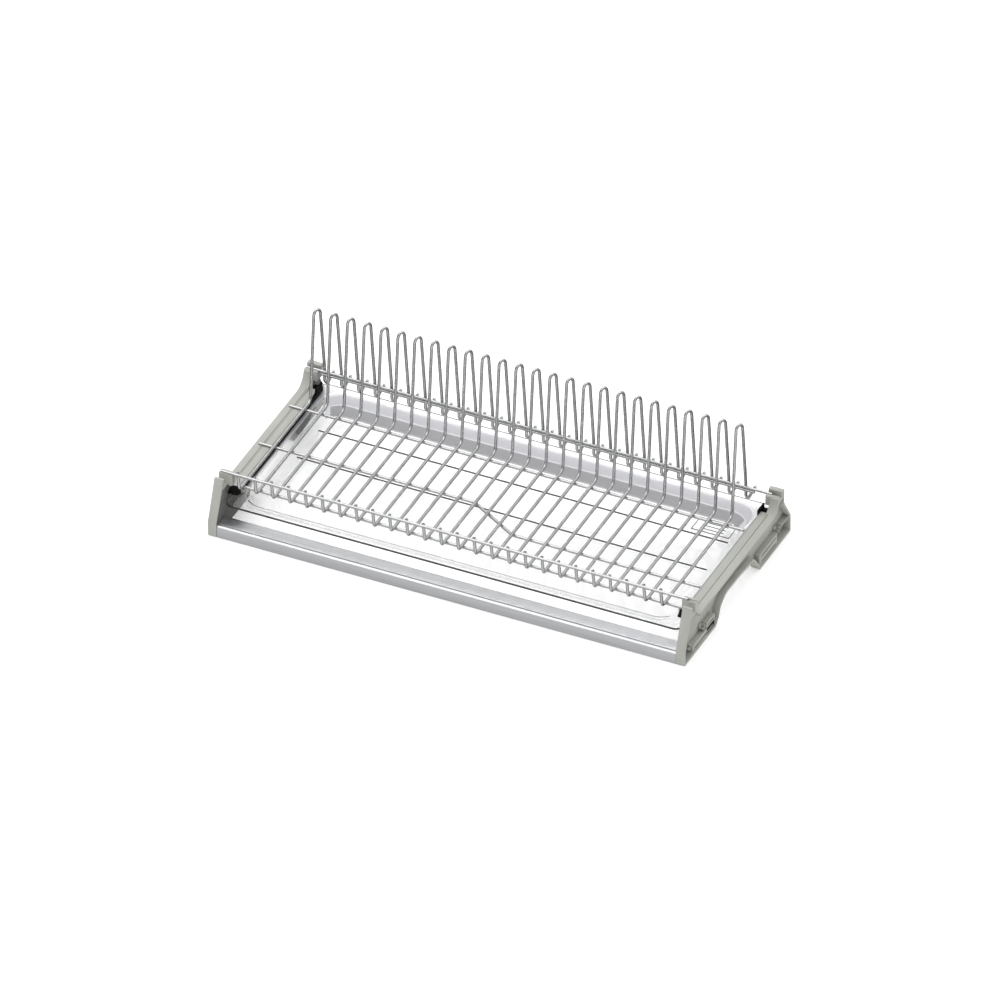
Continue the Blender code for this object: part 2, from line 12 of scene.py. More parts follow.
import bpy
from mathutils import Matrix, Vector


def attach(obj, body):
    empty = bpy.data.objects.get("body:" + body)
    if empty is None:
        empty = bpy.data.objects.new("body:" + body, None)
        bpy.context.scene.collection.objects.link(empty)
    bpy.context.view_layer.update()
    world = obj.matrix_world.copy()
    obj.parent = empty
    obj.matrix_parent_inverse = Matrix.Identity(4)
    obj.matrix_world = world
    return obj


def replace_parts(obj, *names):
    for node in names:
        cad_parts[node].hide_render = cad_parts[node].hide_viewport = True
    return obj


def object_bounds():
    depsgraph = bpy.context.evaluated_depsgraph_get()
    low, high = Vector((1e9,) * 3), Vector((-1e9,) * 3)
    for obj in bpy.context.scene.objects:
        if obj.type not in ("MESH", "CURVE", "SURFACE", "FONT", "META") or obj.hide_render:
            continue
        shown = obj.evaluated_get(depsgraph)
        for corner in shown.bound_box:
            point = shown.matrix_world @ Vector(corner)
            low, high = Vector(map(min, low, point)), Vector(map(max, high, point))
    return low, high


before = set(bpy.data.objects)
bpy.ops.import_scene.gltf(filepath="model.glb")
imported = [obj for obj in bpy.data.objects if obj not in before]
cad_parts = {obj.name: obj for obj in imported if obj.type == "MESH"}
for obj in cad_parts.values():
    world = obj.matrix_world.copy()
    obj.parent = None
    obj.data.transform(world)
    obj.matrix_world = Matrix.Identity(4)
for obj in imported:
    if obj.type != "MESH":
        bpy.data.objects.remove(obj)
cad_low, cad_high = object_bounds()
print("nodes:", len(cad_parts))

# %% [markdown]
# ## The few sizes that everything shares
#
# A place is given as how far it lies inwards from a bracket's outer face, how far back from
# the front face, and how high. A small helper turns it into scene coordinates, so that the
# left and the right bracket come from the same numbers.

# %% Shared sizes
from math import cos, pi, radians, sin, tan

import bmesh
import bpy
from mathutils import Vector

MM = 0.001
HALF_W = cad_high.x
DEPTH = cad_high.y - cad_low.y
LOOP_TOP = cad_high.z
BEAM_W = 18.5 * MM
BEAM_TOP = 44.5 * MM
CLIP_TOP = 66 * MM
POST_W = 10.5 * MM
SWEEP_R = 18 * MM
WIRE_R = 1.8 * MM
ROD_R = 1.7 * MM


def place(side, inward, back, up):
    """A place near the left (-1) or right (+1) bracket as scene coordinates."""
    return Vector((side * (HALF_W - inward), back - DEPTH / 2, up))


print(f"rack: {2000 * HALF_W:.0f} x {1000 * DEPTH:.0f} x {1000 * LOOP_TOP:.0f} mm")

# %% [markdown]
# ## A way to write materials
#
# Every finish starts from the Principled shader. The helpers below add what most real
# surfaces have: a tone that drifts over the piece, a roughness that isn't the same everywhere,
# and a fine relief. Each reads Object coordinates, which are true metres here, so a grain
# keeps its size on every piece. Image textures are the other way, but procedural noise needs
# no unwrapping and stays sharp at any distance.

# %% Material helpers
NOISE_LOW, NOISE_HIGH = 0.3, 0.7  # nearly all of a noise's values lie between these


def new_finish(name, **constants):
    """A Principled material with these sockets set, and the parts needed to extend it."""
    finish = bpy.data.materials.new(name)
    finish.use_nodes = True
    tree = finish.node_tree
    shader = tree.nodes["Principled BSDF"]
    for socket, value in constants.items():
        shader.inputs[socket.replace("_", " ")].default_value = value
    return finish, tree, shader


def noise_on_object(tree, size, stretch=(1, 1, 1), detail=3.0):
    """Noise whose features are about `size` metres, stretched along the axes."""
    coordinates = tree.nodes.new("ShaderNodeTexCoord")
    scaling = tree.nodes.new("ShaderNodeMapping")
    scaling.inputs["Scale"].default_value = tuple(1 / (size * s) for s in stretch)
    noise = tree.nodes.new("ShaderNodeTexNoise")
    noise.inputs["Scale"].default_value = 1.0
    noise.inputs["Detail"].default_value = detail
    tree.links.new(coordinates.outputs["Object"], scaling.inputs["Vector"])
    tree.links.new(scaling.outputs["Vector"], noise.inputs["Vector"])
    return noise.outputs["Fac"]


def between(tree, factor, low, high):
    """The noise's factor spread over low to high."""
    spread = tree.nodes.new("ShaderNodeMapRange")
    spread.inputs["From Min"].default_value = NOISE_LOW
    spread.inputs["From Max"].default_value = NOISE_HIGH
    spread.inputs["To Min"].default_value = low
    spread.inputs["To Max"].default_value = high
    tree.links.new(factor, spread.inputs["Value"])
    return spread.outputs["Result"]


def tone_drift(tree, shader, factor, dark, light):
    """Base colour that wanders between two tones."""
    ramp = tree.nodes.new("ShaderNodeValToRGB")
    ends = ((NOISE_LOW, dark), (NOISE_HIGH, light))
    for element, (position, tone) in zip(ramp.color_ramp.elements, ends):
        element.position = position
        element.color = (*tone, 1)
    tree.links.new(factor, ramp.inputs["Fac"])
    tree.links.new(ramp.outputs["Color"], shader.inputs["Base Color"])


def relief(tree, shader, height, depth, strength):
    """Fine relief of that depth in metres."""
    bump = tree.nodes.new("ShaderNodeBump")
    bump.inputs["Distance"].default_value = depth
    bump.inputs["Strength"].default_value = strength
    tree.links.new(height, bump.inputs["Height"])
    tree.links.new(bump.outputs["Normal"], shader.inputs["Normal"])


def drifting_finish(name, size, dark, light, rough, stretch=(1, 1, 1), detail=3, **constants):
    """A finish whose tone and roughness follow one noise, with the parts to extend it."""
    finish, tree, shader = new_finish(name, **constants)
    drift = noise_on_object(tree, size, stretch, detail)
    tone_drift(tree, shader, drift, dark, light)
    tree.links.new(between(tree, drift, *rough), shader.inputs["Roughness"])
    print("finish:", name)
    return finish, tree, shader, drift


# %% [markdown]
# ## Moulded grey plastic
#
# The brackets are injection-moulded in a warm, slightly green grey. Such a mould is sparked or
# blasted, so its surface is satin with a very fine grain, and handling polishes it in places.
# Two noises do this: one of 0.4 mm for the grain, one of 30 mm for tone and polish. On the
# inner side under the beam, where the tray's guide is fixed, a much darker copy of the same
# plastic is painted shade.

# %% Grey plastic
grey_plastic, tree, shader, _ = drifting_finish(
    "moulded_grey_plastic", 30 * MM, (0.365, 0.373, 0.341), (0.415, 0.423, 0.387), (0.42, 0.56),
    detail=4, Specular_IOR_Level=0.4)
relief(tree, shader, noise_on_object(tree, 0.4 * MM, detail=2), 0.05 * MM, 0.35)

# Painted shade: the same plastic much darker, for the faces in the shade under the beam.
painted_shade_plastic = drifting_finish(
    "painted_shade_grey_plastic", 30 * MM, (0.10, 0.103, 0.095), (0.14, 0.144, 0.132), (0.5, 0.65),
    detail=4, Specular_IOR_Level=0.3)[0]

# %% [markdown]
# ## Satin anodised aluminium
#
# The front profile is extruded, brushed along its length and anodised. Brushing leaves lines
# hundreds of times longer than they are wide, so the same noise is stretched along X. It
# drives the tone, the roughness and a shallow relief together, as real scratches do.

# %% Aluminium
aluminium, tree, shader, brushing = drifting_finish(
    "satin_aluminium", 0.35 * MM, (0.60, 0.605, 0.62), (0.71, 0.715, 0.73), (0.26, 0.42),
    stretch=(160, 1, 1), detail=4, Metallic=1.0)
relief(tree, shader, brushing, 0.02 * MM, 0.25)

# %% [markdown]
# ## Chromed wire
#
# Drawn steel wire with bright plating. It is smooth, but never perfectly: plating thins and
# thickens, which clouds the reflection a little, and drawing leaves faint lines.

# %% Chrome
chrome, tree, shader, _ = drifting_finish(
    "bright_chrome", 6 * MM, (0.44, 0.443, 0.443), (0.53, 0.534, 0.534), (0.14, 0.26),
    Metallic=1.0)
relief(tree, shader, noise_on_object(tree, 0.5 * MM, detail=2), 0.01 * MM, 0.2)

# %% [markdown]
# ## Clear plastic, in four finishes
#
# The tray is one clear moulding, yet it doesn't look the same all over. Its floor is polished
# and almost disappears. Its sloping rear wall carries a moulded frost that hides water marks;
# the frost's grey tone is a painted reflection of the darker surroundings that the wall faces.
# The frost's lower half is darker still, a painted shade for the light that doesn't come back
# through it. Its cut edges are near black, a painted shade for the light that runs away inside
# the sheet. So there is one finish for each kind of face; alpha and transmission together set
# how much shows through.

# %% Clear plastic
clear_plastic, tree, shader = new_finish(
    "polished_clear_plastic", Transmission_Weight=1.0, IOR=1.3, Specular_IOR_Level=0.5,
    Base_Color=(0.93, 0.935, 0.945, 1), Alpha=0.22)
ripple = noise_on_object(tree, 18 * MM, detail=2)
tree.links.new(between(tree, ripple, 0.01, 0.06), shader.inputs["Roughness"])
relief(tree, shader, ripple, 0.15 * MM, 0.15)

# Painted reflection: the frost's grey tone stands in for the darker surroundings that the rear wall
# reflects; its roughness and relief are the frost's own.
frost_with_painted_reflection, tree, shader, frost = drifting_finish(
    "frost_with_painted_reflection", 0.8 * MM, (0.56, 0.56, 0.59), (0.68, 0.68, 0.71), (0.3, 0.5),
    Transmission_Weight=0.4, IOR=1.2, Specular_IOR_Level=0.4, Alpha=0.8)
relief(tree, shader, frost, 0.05 * MM, 0.3)

# Painted shade: a much darker copy of the frost for the lower half of the rear wall.
frost_with_painted_shade = drifting_finish(
    "frost_with_painted_shade", 0.8 * MM, (0.29, 0.29, 0.30), (0.35, 0.35, 0.36), (0.3, 0.5),
    Transmission_Weight=0.4, IOR=1.2, Specular_IOR_Level=0.4, Alpha=0.85)[0]

# Painted shade: a near-black tone for the tray's edges and ribs, for the light that runs away inside
# the sheet.
near_black_painted_shade = drifting_finish(
    "near_black_painted_shade", 9 * MM, (0.025, 0.025, 0.026), (0.055, 0.055, 0.057), (0.12, 0.3),
    Transmission_Weight=0.1, IOR=1.2, Specular_IOR_Level=0.25, Alpha=1.0)[0]

# %% [markdown]
# ## Black plastic and zinc
#
# The guides that carry the tray are plain black plastic, matt from sliding, with scuffs that
# run the way the tray moves. The screws are zinc-plated: dull, a little yellow, and mottled.

# %% Black plastic and zinc
black_plastic, tree, shader, _ = drifting_finish(
    "matt_black_plastic", 2 * MM, (0.003, 0.003, 0.003), (0.008, 0.008, 0.008), (0.6, 0.8),
    stretch=(1, 12, 1), detail=4, Specular_IOR_Level=0.08)
relief(tree, shader, noise_on_object(tree, 0.4 * MM, detail=2), 0.03 * MM, 0.3)

zinc, tree, shader, mottle = drifting_finish(
    "zinc_plating", 1.2 * MM, (0.50, 0.50, 0.47), (0.70, 0.70, 0.66), (0.25, 0.45),
    detail=4, Metallic=1.0)
relief(tree, shader, mottle, 0.03 * MM, 0.3)

# %% [markdown]
# ## Plates of plastic with rounded edges
#
# No moulding has a knife edge: every one is rounded by a few tenths of a millimetre, and that
# rounding is what catches the light. A flat Blender curve gives it for free. Filled and
# extruded it is a plate, and its bevel rounds all the edges at once, even round a hole. The
# negative offset takes the bevel back, so the plate keeps the outline it was drawn with.
# A Bevel modifier on a plate made by Booleans would be the other way, but it stumbles on the
# thin triangles that Booleans leave.

# %% Rounded plates
def bend(before, corner, after, radius, steps=6):
    """Points of the arc that rounds one corner, in a plane or in space."""
    to_last = (before - corner).normalized()
    to_next = (after - corner).normalized()
    half = to_last.angle(to_next) / 2
    centre = corner + (to_last + to_next).normalized() * (radius / sin(half))
    start = corner + to_last * (radius / tan(half)) - centre
    end = corner + to_next * (radius / tan(half)) - centre
    turn = start.angle(end)
    return [centre + (start * sin(turn * (1 - s / steps)) + end * sin(turn * s / steps)) / sin(turn)
            for s in range(steps + 1)]


def rounded(corners):
    """A closed outline from (y, z, radius) corners, each rounded by an arc."""
    points = [Vector(corner[:2]) for corner in corners]
    outline = []
    for i, (*_, radius) in enumerate(corners):
        near = points[i - 1], points[i], points[(i + 1) % len(points)]
        outline += bend(*near, radius) if radius > 0 else [points[i]]
    return outline


def cleaned(mesh, merge):
    """The mesh with coinciding points merged and its faces turned outwards."""
    work = bmesh.new()
    work.from_mesh(mesh)
    bmesh.ops.remove_doubles(work, verts=work.verts, dist=merge)
    bmesh.ops.recalc_face_normals(work, faces=work.faces)
    work.to_mesh(mesh)
    work.free()
    return mesh


def plate(outlines, side, inner, outer, edge=0.35 * MM):
    """A mesh: outlines in (back, up), the later ones holes, as thick as inner to outer."""
    curve = bpy.data.curves.new("plate_outline", "CURVE")
    curve.dimensions = "2D"
    curve.fill_mode = "BOTH"
    curve.extrude = abs(outer - inner) / 2 - edge
    curve.bevel_depth = edge
    curve.offset = -edge
    curve.bevel_resolution = 1
    for outline in outlines:
        spline = curve.splines.new("POLY")
        spline.points.add(len(outline) - 1)
        for point, (y, z) in zip(spline.points, outline):
            point.co = (y, z, 0, 1)
        spline.use_cyclic_u = True
    holder = bpy.data.objects.new("plate_outline", curve)
    bpy.context.scene.collection.objects.link(holder)
    holder.rotation_euler = (pi / 2, 0, pi / 2)
    holder.location = place(side, (inner + outer) / 2, 0, 0)
    bpy.context.view_layer.update()
    graph = bpy.context.evaluated_depsgraph_get()
    mesh = bpy.data.meshes.new_from_object(holder.evaluated_get(graph))
    mesh.transform(holder.matrix_world)
    bpy.data.objects.remove(holder)
    return cleaned(mesh, 1e-6)


def bar(side, inner, outer, back, up, edge=0.35 * MM):
    """A rounded block between the pairs back and up."""
    corners = [(back[0], up[0], 0), (back[1], up[0], 0), (back[1], up[1], 0), (back[0], up[1], 0)]
    return plate([rounded(corners)], side, inner, outer, edge)


sample = bar(1, 0, 3 * MM, (0, 9 * MM), (0, 9 * MM))
print("a rounded plate has", len(sample.vertices), "points")
bpy.data.meshes.remove(sample)

# %% [markdown]
# ## Cuts, and joining shells into one piece
#
# A bracket is built of plates and bars that run into each other. Shells that overlap need no
# Boolean to look like one body, so Booleans are kept for real cuts, such as the seats that
# the rods lie in. A last helper gathers the shells into one named object at the origin.

# %% Cuts and joins
def as_object(name, data):
    """A mesh, light or camera as an object in the scene, at the origin."""
    obj = bpy.data.objects.new(name, data)
    bpy.context.scene.collection.objects.link(obj)
    return obj


def cut_from(mesh, cutters):
    """The mesh with each cutter mesh taken out of it."""
    body = as_object("being_cut", mesh)
    tools = [as_object(f"cutter_{i}", cutter) for i, cutter in enumerate(cutters)]
    for tool in tools:
        modifier = body.modifiers.new(tool.name, "BOOLEAN")
        modifier.object = tool
        modifier.solver = "MANIFOLD"
    bpy.context.view_layer.update()
    graph = bpy.context.evaluated_depsgraph_get()
    result = bpy.data.meshes.new_from_object(body.evaluated_get(graph))
    for obj in (body, *tools):
        bpy.data.objects.remove(obj)
    return result


def mesh_of(name, work):
    """The mesh that the bmesh holds; the bmesh is freed."""
    mesh = bpy.data.meshes.new(name)
    work.to_mesh(mesh)
    work.free()
    return mesh


def drill(side, inner, outer, back, up, radius, segments=28):
    """A round cutter along X."""
    work = bmesh.new()
    bmesh.ops.create_cone(work, cap_ends=True, segments=segments, radius1=radius,
                          radius2=radius, depth=abs(outer - inner))
    for vert in work.verts:
        x, y, z = vert.co
        vert.co = place(side, (inner + outer) / 2, back, up) + Vector((z, y, -x))
    return mesh_of("drill", work)


def box_cutter(side, inner, outer, back, up):
    """A sharp block for cutting with."""
    return bar(side, inner, outer, back, up, edge=0)


def one_piece(name, shells, finish, smooth=32):
    """The shells as one object, with smooth shading broken at real edges."""
    work = bmesh.new()
    for shell in shells:
        work.from_mesh(shell)
    mesh = mesh_of(name, work)
    mesh.materials.clear()
    mesh.materials.append(finish)
    mesh.polygons.foreach_set("material_index", [0] * len(mesh.polygons))
    mesh.shade_smooth()
    mesh.set_sharp_from_angle(angle=radians(smooth))
    return as_object(name, mesh)


# %% [markdown]
# ## The outline of a bracket
#
# Seen from the side, a bracket stands on two feet with a long arch between them. Its front post
# leans back to the clip that holds the rack's front rod, the beam runs level to the rear, and
# a concave sweep lifts it to the rear clip. A second outline, a few millimetres inside the
# first, is the hollow in the bracket's outer side.

# %% Bracket outlines
RIM = 2.7 * MM
WEB = 8 * MM
FRONT_ROD = (30.2 * MM, CLIP_TOP + 0.1 * MM)
REAR_ROD = (DEPTH - 26 * MM, CLIP_TOP - 4.5 * MM)
CLIP_FLOOR = CLIP_TOP - 11 * MM
CLIP_BACK = DEPTH - 17 * MM
SWEEP_BACK = DEPTH - 50 * MM
ARCH_FRONT = 0.293 * DEPTH
ARCH_REAR = 0.7106 * DEPTH
ARCH_TOP = 26 * MM


def swept_rise(radius, last_degrees, steps=12):
    """The concave rise from the beam to the rear clip, from the clip down."""
    turns = [radians(last_degrees) * s / steps for s in range(steps, -1, -1)]
    return [(SWEEP_BACK + radius * sin(t), BEAM_TOP + SWEEP_R - radius * cos(t), 0)
            for t in turns]


def arch(rise, spread):
    """Corners of the arch between the feet, grown by the rim's thickness."""
    front, rear = ARCH_FRONT - spread, ARCH_REAR + spread
    return [(front + 8 * MM, 7 * MM + rise * 0.6, 4 * MM),
            (front + 12.5 * MM, 18 * MM + rise * 0.6, 8 * MM),
            (front + 26 * MM, ARCH_TOP + rise, 14 * MM), (DEPTH / 2, ARCH_TOP + rise, 60 * MM),
            (rear - 17 * MM, ARCH_TOP - 3.8 * MM + rise, 8 * MM)]


outer_outline = rounded(
    [(0, 18.5 * MM, 2 * MM), (0, 0, 1 * MM), (ARCH_FRONT, 0, 1 * MM)] + arch(0, 0)
    + [(ARCH_REAR, 0, 1 * MM), (DEPTH, 0, 1 * MM), (DEPTH, 21 * MM, 3 * MM),
       (CLIP_BACK, BEAM_TOP + 3.5 * MM, 3 * MM), (CLIP_BACK, CLIP_TOP, 0.8 * MM),
       (DEPTH - 23.4 * MM, CLIP_TOP, 0.8 * MM),
       (DEPTH - 23.4 * MM, REAR_ROD[1] - 2.5 * MM, 0.6 * MM),
       (DEPTH - 28.6 * MM, REAR_ROD[1] - 2.5 * MM, 0.6 * MM),
       (DEPTH - 28.6 * MM, CLIP_TOP - 3 * MM, 0)]
    + swept_rise(SWEEP_R, 84)
    + [(35 * MM, BEAM_TOP, 0), (35 * MM, CLIP_TOP, 0), (27.4 * MM, CLIP_TOP, 0.6 * MM),
       (27.4 * MM, CLIP_FLOOR, 1 * MM), (20.4 * MM, CLIP_FLOOR, 1 * MM),
       (20.4 * MM, CLIP_TOP - 1.6 * MM, 0.4 * MM), (17 * MM, CLIP_TOP - 1 * MM, 0.8 * MM)])

rear_z, post_z = CLIP_TOP - 9.8 * MM, CLIP_TOP - 14 * MM
hollow_outline = rounded(
    [(RIM, RIM, 1 * MM), (ARCH_FRONT - 1.5 * MM, RIM, 1 * MM)] + arch(RIM, 1.2 * MM)
    + [(ARCH_REAR + 2 * MM, RIM, 1 * MM), (DEPTH - RIM, RIM, 1 * MM),
       (DEPTH - RIM, 20.2 * MM, 2 * MM), (CLIP_BACK - RIM, BEAM_TOP + 2.5 * MM, 2 * MM),
       (CLIP_BACK - RIM, rear_z, 1 * MM), (DEPTH - 29.5 * MM, rear_z, 0)]
    + swept_rise(SWEEP_R + RIM, 62)
    + [(37 * MM, BEAM_TOP - RIM, 1 * MM), (32.4 * MM, BEAM_TOP - RIM + 5 * MM, 1 * MM),
       (32.4 * MM, post_z, 1 * MM), (15.4 * MM, post_z, 1 * MM), (3.3 * MM, 19.2 * MM, 2 * MM)])
print("outer outline:", len(outer_outline), "points; hollow:", len(hollow_outline))

# %% [markdown]
# ## Building the two brackets
#
# The rim is one plate with a hole, the web closes the hole a few millimetres deep, and the
# shelf along the inner side makes the beam wide enough to carry the rack. Bosses with long
# grooves stiffen the feet. A thin groove runs along the top of the beam where the outer strip
# meets the shelf. A rod's seat is drilled out of every plate that it passes, so the cutters
# are made by helpers. Last, the faces under the beam on the inner side get painted shade: the
# much darker copy of the grey plastic.

# %% The brackets
SCREWS = ((DEPTH - 26.5 * MM, 18 * MM), (ARCH_FRONT - 25.5 * MM, 15.5 * MM), (18 * MM, 13 * MM))
MIDDLE_ROD_LEFT = 119 * MM
REAR_UNDER = DEPTH - 78 * MM
LEVEL = BEAM_TOP + 4.5 * MM
WELD_GAP = 0.3 * MM
SEAT_R = ROD_R + 0.3 * MM
UNDER_ROD_Z = LEVEL - WIRE_R - WELD_GAP - ROD_R


def front_seat(side):
    """A cutter for the seat of the front upper rod."""
    return drill(side, -2 * MM, 24 * MM, *FRONT_ROD, SEAT_R)


def saddles(side):
    """Cutters for the two rods that lie in the left bracket's beam."""
    return [drill(side, 4.5 * MM, 22 * MM, y, UNDER_ROD_Z, SEAT_R)
            for y in (MIDDLE_ROD_LEFT, REAR_UNDER) if side < 0]


def web_of(side):
    """The thin wall that closes the hollow, with its screw holes."""
    inset = 1.5 * MM
    outline = rounded(
        [(inset, 18 * MM, 1 * MM), (inset, inset, 1 * MM), (ARCH_FRONT - 1 * MM, inset, 1 * MM)]
        + arch(inset, 0.8 * MM)
        + [(ARCH_REAR + 1.2 * MM, inset, 1 * MM), (DEPTH - inset, inset, 1 * MM),
           (DEPTH - inset, 20.6 * MM, 2 * MM), (CLIP_BACK - inset, BEAM_TOP + 3 * MM, 2 * MM),
           (CLIP_BACK - inset, rear_z + 1.5 * MM, 1 * MM),
           (DEPTH - 30.5 * MM, rear_z + 1.5 * MM, 0)]
        + swept_rise(SWEEP_R + inset, 62)
        + [(36 * MM, BEAM_TOP - inset, 1 * MM), (33.6 * MM, BEAM_TOP - RIM + 5 * MM, 1 * MM),
           (33.6 * MM, post_z + 1 * MM, 1 * MM), (15 * MM, post_z + 1 * MM, 1 * MM),
           (2 * MM, 19 * MM, 2 * MM)])
    holes = [drill(side, 5 * MM, 12 * MM, y, z, 2.2 * MM, 20) for y, z in SCREWS]
    return cut_from(plate([outline], side, WEB, POST_W - 0.15 * MM, 0.1 * MM), holes)


def bosses_of(side):
    """The three blocks in the feet, each with its long grooves."""
    groove_h = 2 * MM
    sizes = (((24 * MM, ARCH_FRONT - 0.5 * MM), 10.5 * MM,
              (28 * MM, ARCH_FRONT - 4 * MM), (4.2 * MM,)),
             ((ARCH_FRONT - 20 * MM, ARCH_FRONT + 0.5 * MM), 17 * MM,
              (ARCH_FRONT - 17 * MM, ARCH_FRONT - 2 * MM), (11.8 * MM,)),
             ((ARCH_REAR + 1.2 * MM, DEPTH - 32 * MM), 17 * MM,
              (ARCH_REAR + 7 * MM, DEPTH - 36 * MM), (4.2 * MM, 11.8 * MM)))
    return [cut_from(bar(side, 1.6 * MM, 9 * MM, back, (1 * MM, top)),
                     [box_cutter(side, -1 * MM, 6 * MM, groove, (z, z + groove_h)) for z in lows])
            for back, top, groove, lows in sizes]


def bracket(side):
    """The shells of one bracket."""
    groove = box_cutter(side, 8.4 * MM, 9.1 * MM, (35.4 * MM, DEPTH - 42 * MM),
                        (BEAM_TOP - 1.2 * MM, BEAM_TOP + 30 * MM))
    strip_end = box_cutter(side, -1 * MM, 8.1 * MM, (35.2 * MM, 38.4 * MM),
                           (37 * MM, BEAM_TOP + 4 * MM))
    rim = cut_from(plate([outer_outline, hollow_outline], side, 0, POST_W),
                   [groove, strip_end, front_seat(side)] + saddles(side))
    shelf = plate([rounded([
        (38 * MM, BEAM_TOP - 3 * MM, 0), (38 * MM, BEAM_TOP - 0.4 * MM, 0.8 * MM),
        (DEPTH - 37 * MM, BEAM_TOP - 0.4 * MM, 0.8 * MM),
        (DEPTH - 37 * MM, BEAM_TOP - 3 * MM, 0)])], side, 9.4 * MM, BEAM_W, 0.5 * MM)
    front_jaw = bar(side, 9 * MM, 16.3 * MM, (27.6 * MM, 34.8 * MM),
                    (CLIP_TOP - 14 * MM, CLIP_TOP - 0.2 * MM))
    rear_jaw = plate([rounded([
        (DEPTH - 17.2 * MM, 50 * MM, 0), (DEPTH - 17.2 * MM, CLIP_TOP - 0.2 * MM, 0.6 * MM),
        (DEPTH - 23.2 * MM, CLIP_TOP - 0.2 * MM, 0.6 * MM),
        (DEPTH - 23.2 * MM, REAR_ROD[1] - 2.7 * MM, 0),
        (DEPTH - 28.8 * MM, REAR_ROD[1] - 2.7 * MM, 0),
        (DEPTH - 28.8 * MM, CLIP_TOP - 3.4 * MM, 0), (DEPTH - 31.5 * MM, CLIP_TOP - 3.8 * MM, 0),
        (DEPTH - 31.5 * MM, 50 * MM, 0)])], side, 9 * MM, 16.3 * MM)
    rest_z = UNDER_ROD_Z - SEAT_R
    rest = bar(side, 9 * MM, 25 * MM, (38.4 * MM, 44.6 * MM), (rest_z - 5 * MM, rest_z))
    rib = bar(side, 1 * MM, 9 * MM, (DEPTH - 22 * MM, DEPTH - 1.5 * MM), (19.2 * MM, 20.6 * MM),
              0.25 * MM)
    return [rim, web_of(side), cut_from(shelf, saddles(side)),
            cut_from(front_jaw, [front_seat(side)]), rear_jaw, rest, rib, *bosses_of(side)]


for side, word in ((-1, "left"), (1, "right")):
    piece = one_piece(f"{word}_bracket_moulding", bracket(side), grey_plastic)
    piece.data.materials.append(painted_shade_plastic)
    # Painted shade: inward faces of the post under the beam take the dark copy of the plastic.
    for face in piece.data.polygons:
        faces_inwards = -side * face.normal.x > 0.9
        depth_in = HALF_W - abs(face.center.x)
        if faces_inwards and 10 * MM < depth_in < 11 * MM and face.center.z < BEAM_TOP:
            face.material_index = 1
    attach(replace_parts(piece, f"{word}_bracket"), "frame")
    print(piece.name, len(piece.data.polygons), "faces")

# %% [markdown]
# ## The front profile
#
# An extrusion is one outline pulled through a die, so it is drawn once and extruded over the
# rack's width: a face, a chamfer, a narrow slot, and a flat top, all in a wall 1.6 mm thick.

# %% Front profile
wall, front, top, rear = 1.6 * MM, 0.5 * MM, 15.6 * MM, 20.4 * MM
section = rounded([
    (front + wall, 0, 0), (front + wall, 9 * MM, 0), (front + 3.4 * MM, top - 4 * MM, 0),
    (front + 5 * MM, top - 3.4 * MM, 0), (front + 5 * MM, top - wall, 0),
    (rear - wall, top - wall, 0), (rear - wall, top - 6 * MM, 0), (rear, top - 6 * MM, 0),
    (rear, top, 0.7 * MM), (front + 3.3 * MM, top, 0.15 * MM), (front + 3.3 * MM, top - 1.7 * MM, 0),
    (front + 2.1 * MM, top - 1.7 * MM, 0), (front + 2.1 * MM, top - 0.7 * MM, 0.15 * MM),
    (front + 1.7 * MM, top - 0.7 * MM, 0.4 * MM), (front, top - 2.4 * MM, 0.7 * MM),
    (front, 0, 0.3 * MM)])
profile = one_piece("front_profile_extrusion",
                    [plate([section], 1, POST_W + 0.3 * MM, 2 * HALF_W - POST_W - 0.3 * MM, 0)],
                    aluminium, 25)
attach(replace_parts(profile, "front_profile"), "frame")
print("profile length:", round(profile.dimensions.x / MM, 1), "mm")

# %% [markdown]
# ## The drip tray
#
# The tray is a rectangle with generous corners, drawn fourteen times and lofted: up the
# inside from the floor to the rim, and down the outside again. Lofting keeps the wall's
# thickness under control everywhere, which Solidify on a bent sheet wouldn't. The faces then
# get the finish of their place: on the rear wall the frost with its grey painted reflection,
# with a darker painted shade on the lower half of its inside; the same grey frost on the rim
# beside the guides; near-black painted shade on the rim's edges; and clear elsewhere.

# %% Drip tray
TRAY_WALL = 1.8 * MM
TRAY_RIM = 35.4 * MM
TRAY_FLOOR = 20.2 * MM


def plan(half_x, y0, y1, radius, z, steps=10):
    """One ring of the tray: a rectangle with round corners, anticlockwise from above."""
    centres = [(half_x - radius, y0 + radius, -pi / 2), (half_x - radius, y1 - radius, 0),
               (radius - half_x, y1 - radius, pi / 2), (radius - half_x, y0 + radius, pi)]
    return [(cx + radius * cos(start + pi / 2 * s / steps),
             cy + radius * sin(start + pi / 2 * s / steps) - DEPTH / 2, z)
            for cx, cy, start in centres for s in range(steps + 1)]


rim_x = HALF_W - POST_W - 1.7 * MM
well_x = HALF_W - 26 * MM
y0, y1 = 14 * MM, DEPTH - 11 * MM
fall, rear_fall = 12 * MM, 26 * MM  # how far the walls slope inwards, rear wall apart
rear_top = y1 - 8 * MM
floor_top = TRAY_FLOOR + TRAY_WALL


def well(drop, z, grow=0.0):
    """A ring of the well, that far down its slope."""
    lean = fall * drop - grow
    rear_lean = rear_fall * drop - grow
    return plan(well_x - lean, y0 + 12 * MM + lean, rear_top - rear_lean,
                24 * MM - 4 * MM * drop, z)


def wall_z(drop):
    """Height of the well's inner wall that far down its slope."""
    share = (0.93 - drop) / 0.85
    return floor_top + 1.3 * MM + (TRAY_RIM - floor_top - 2.6 * MM) * share


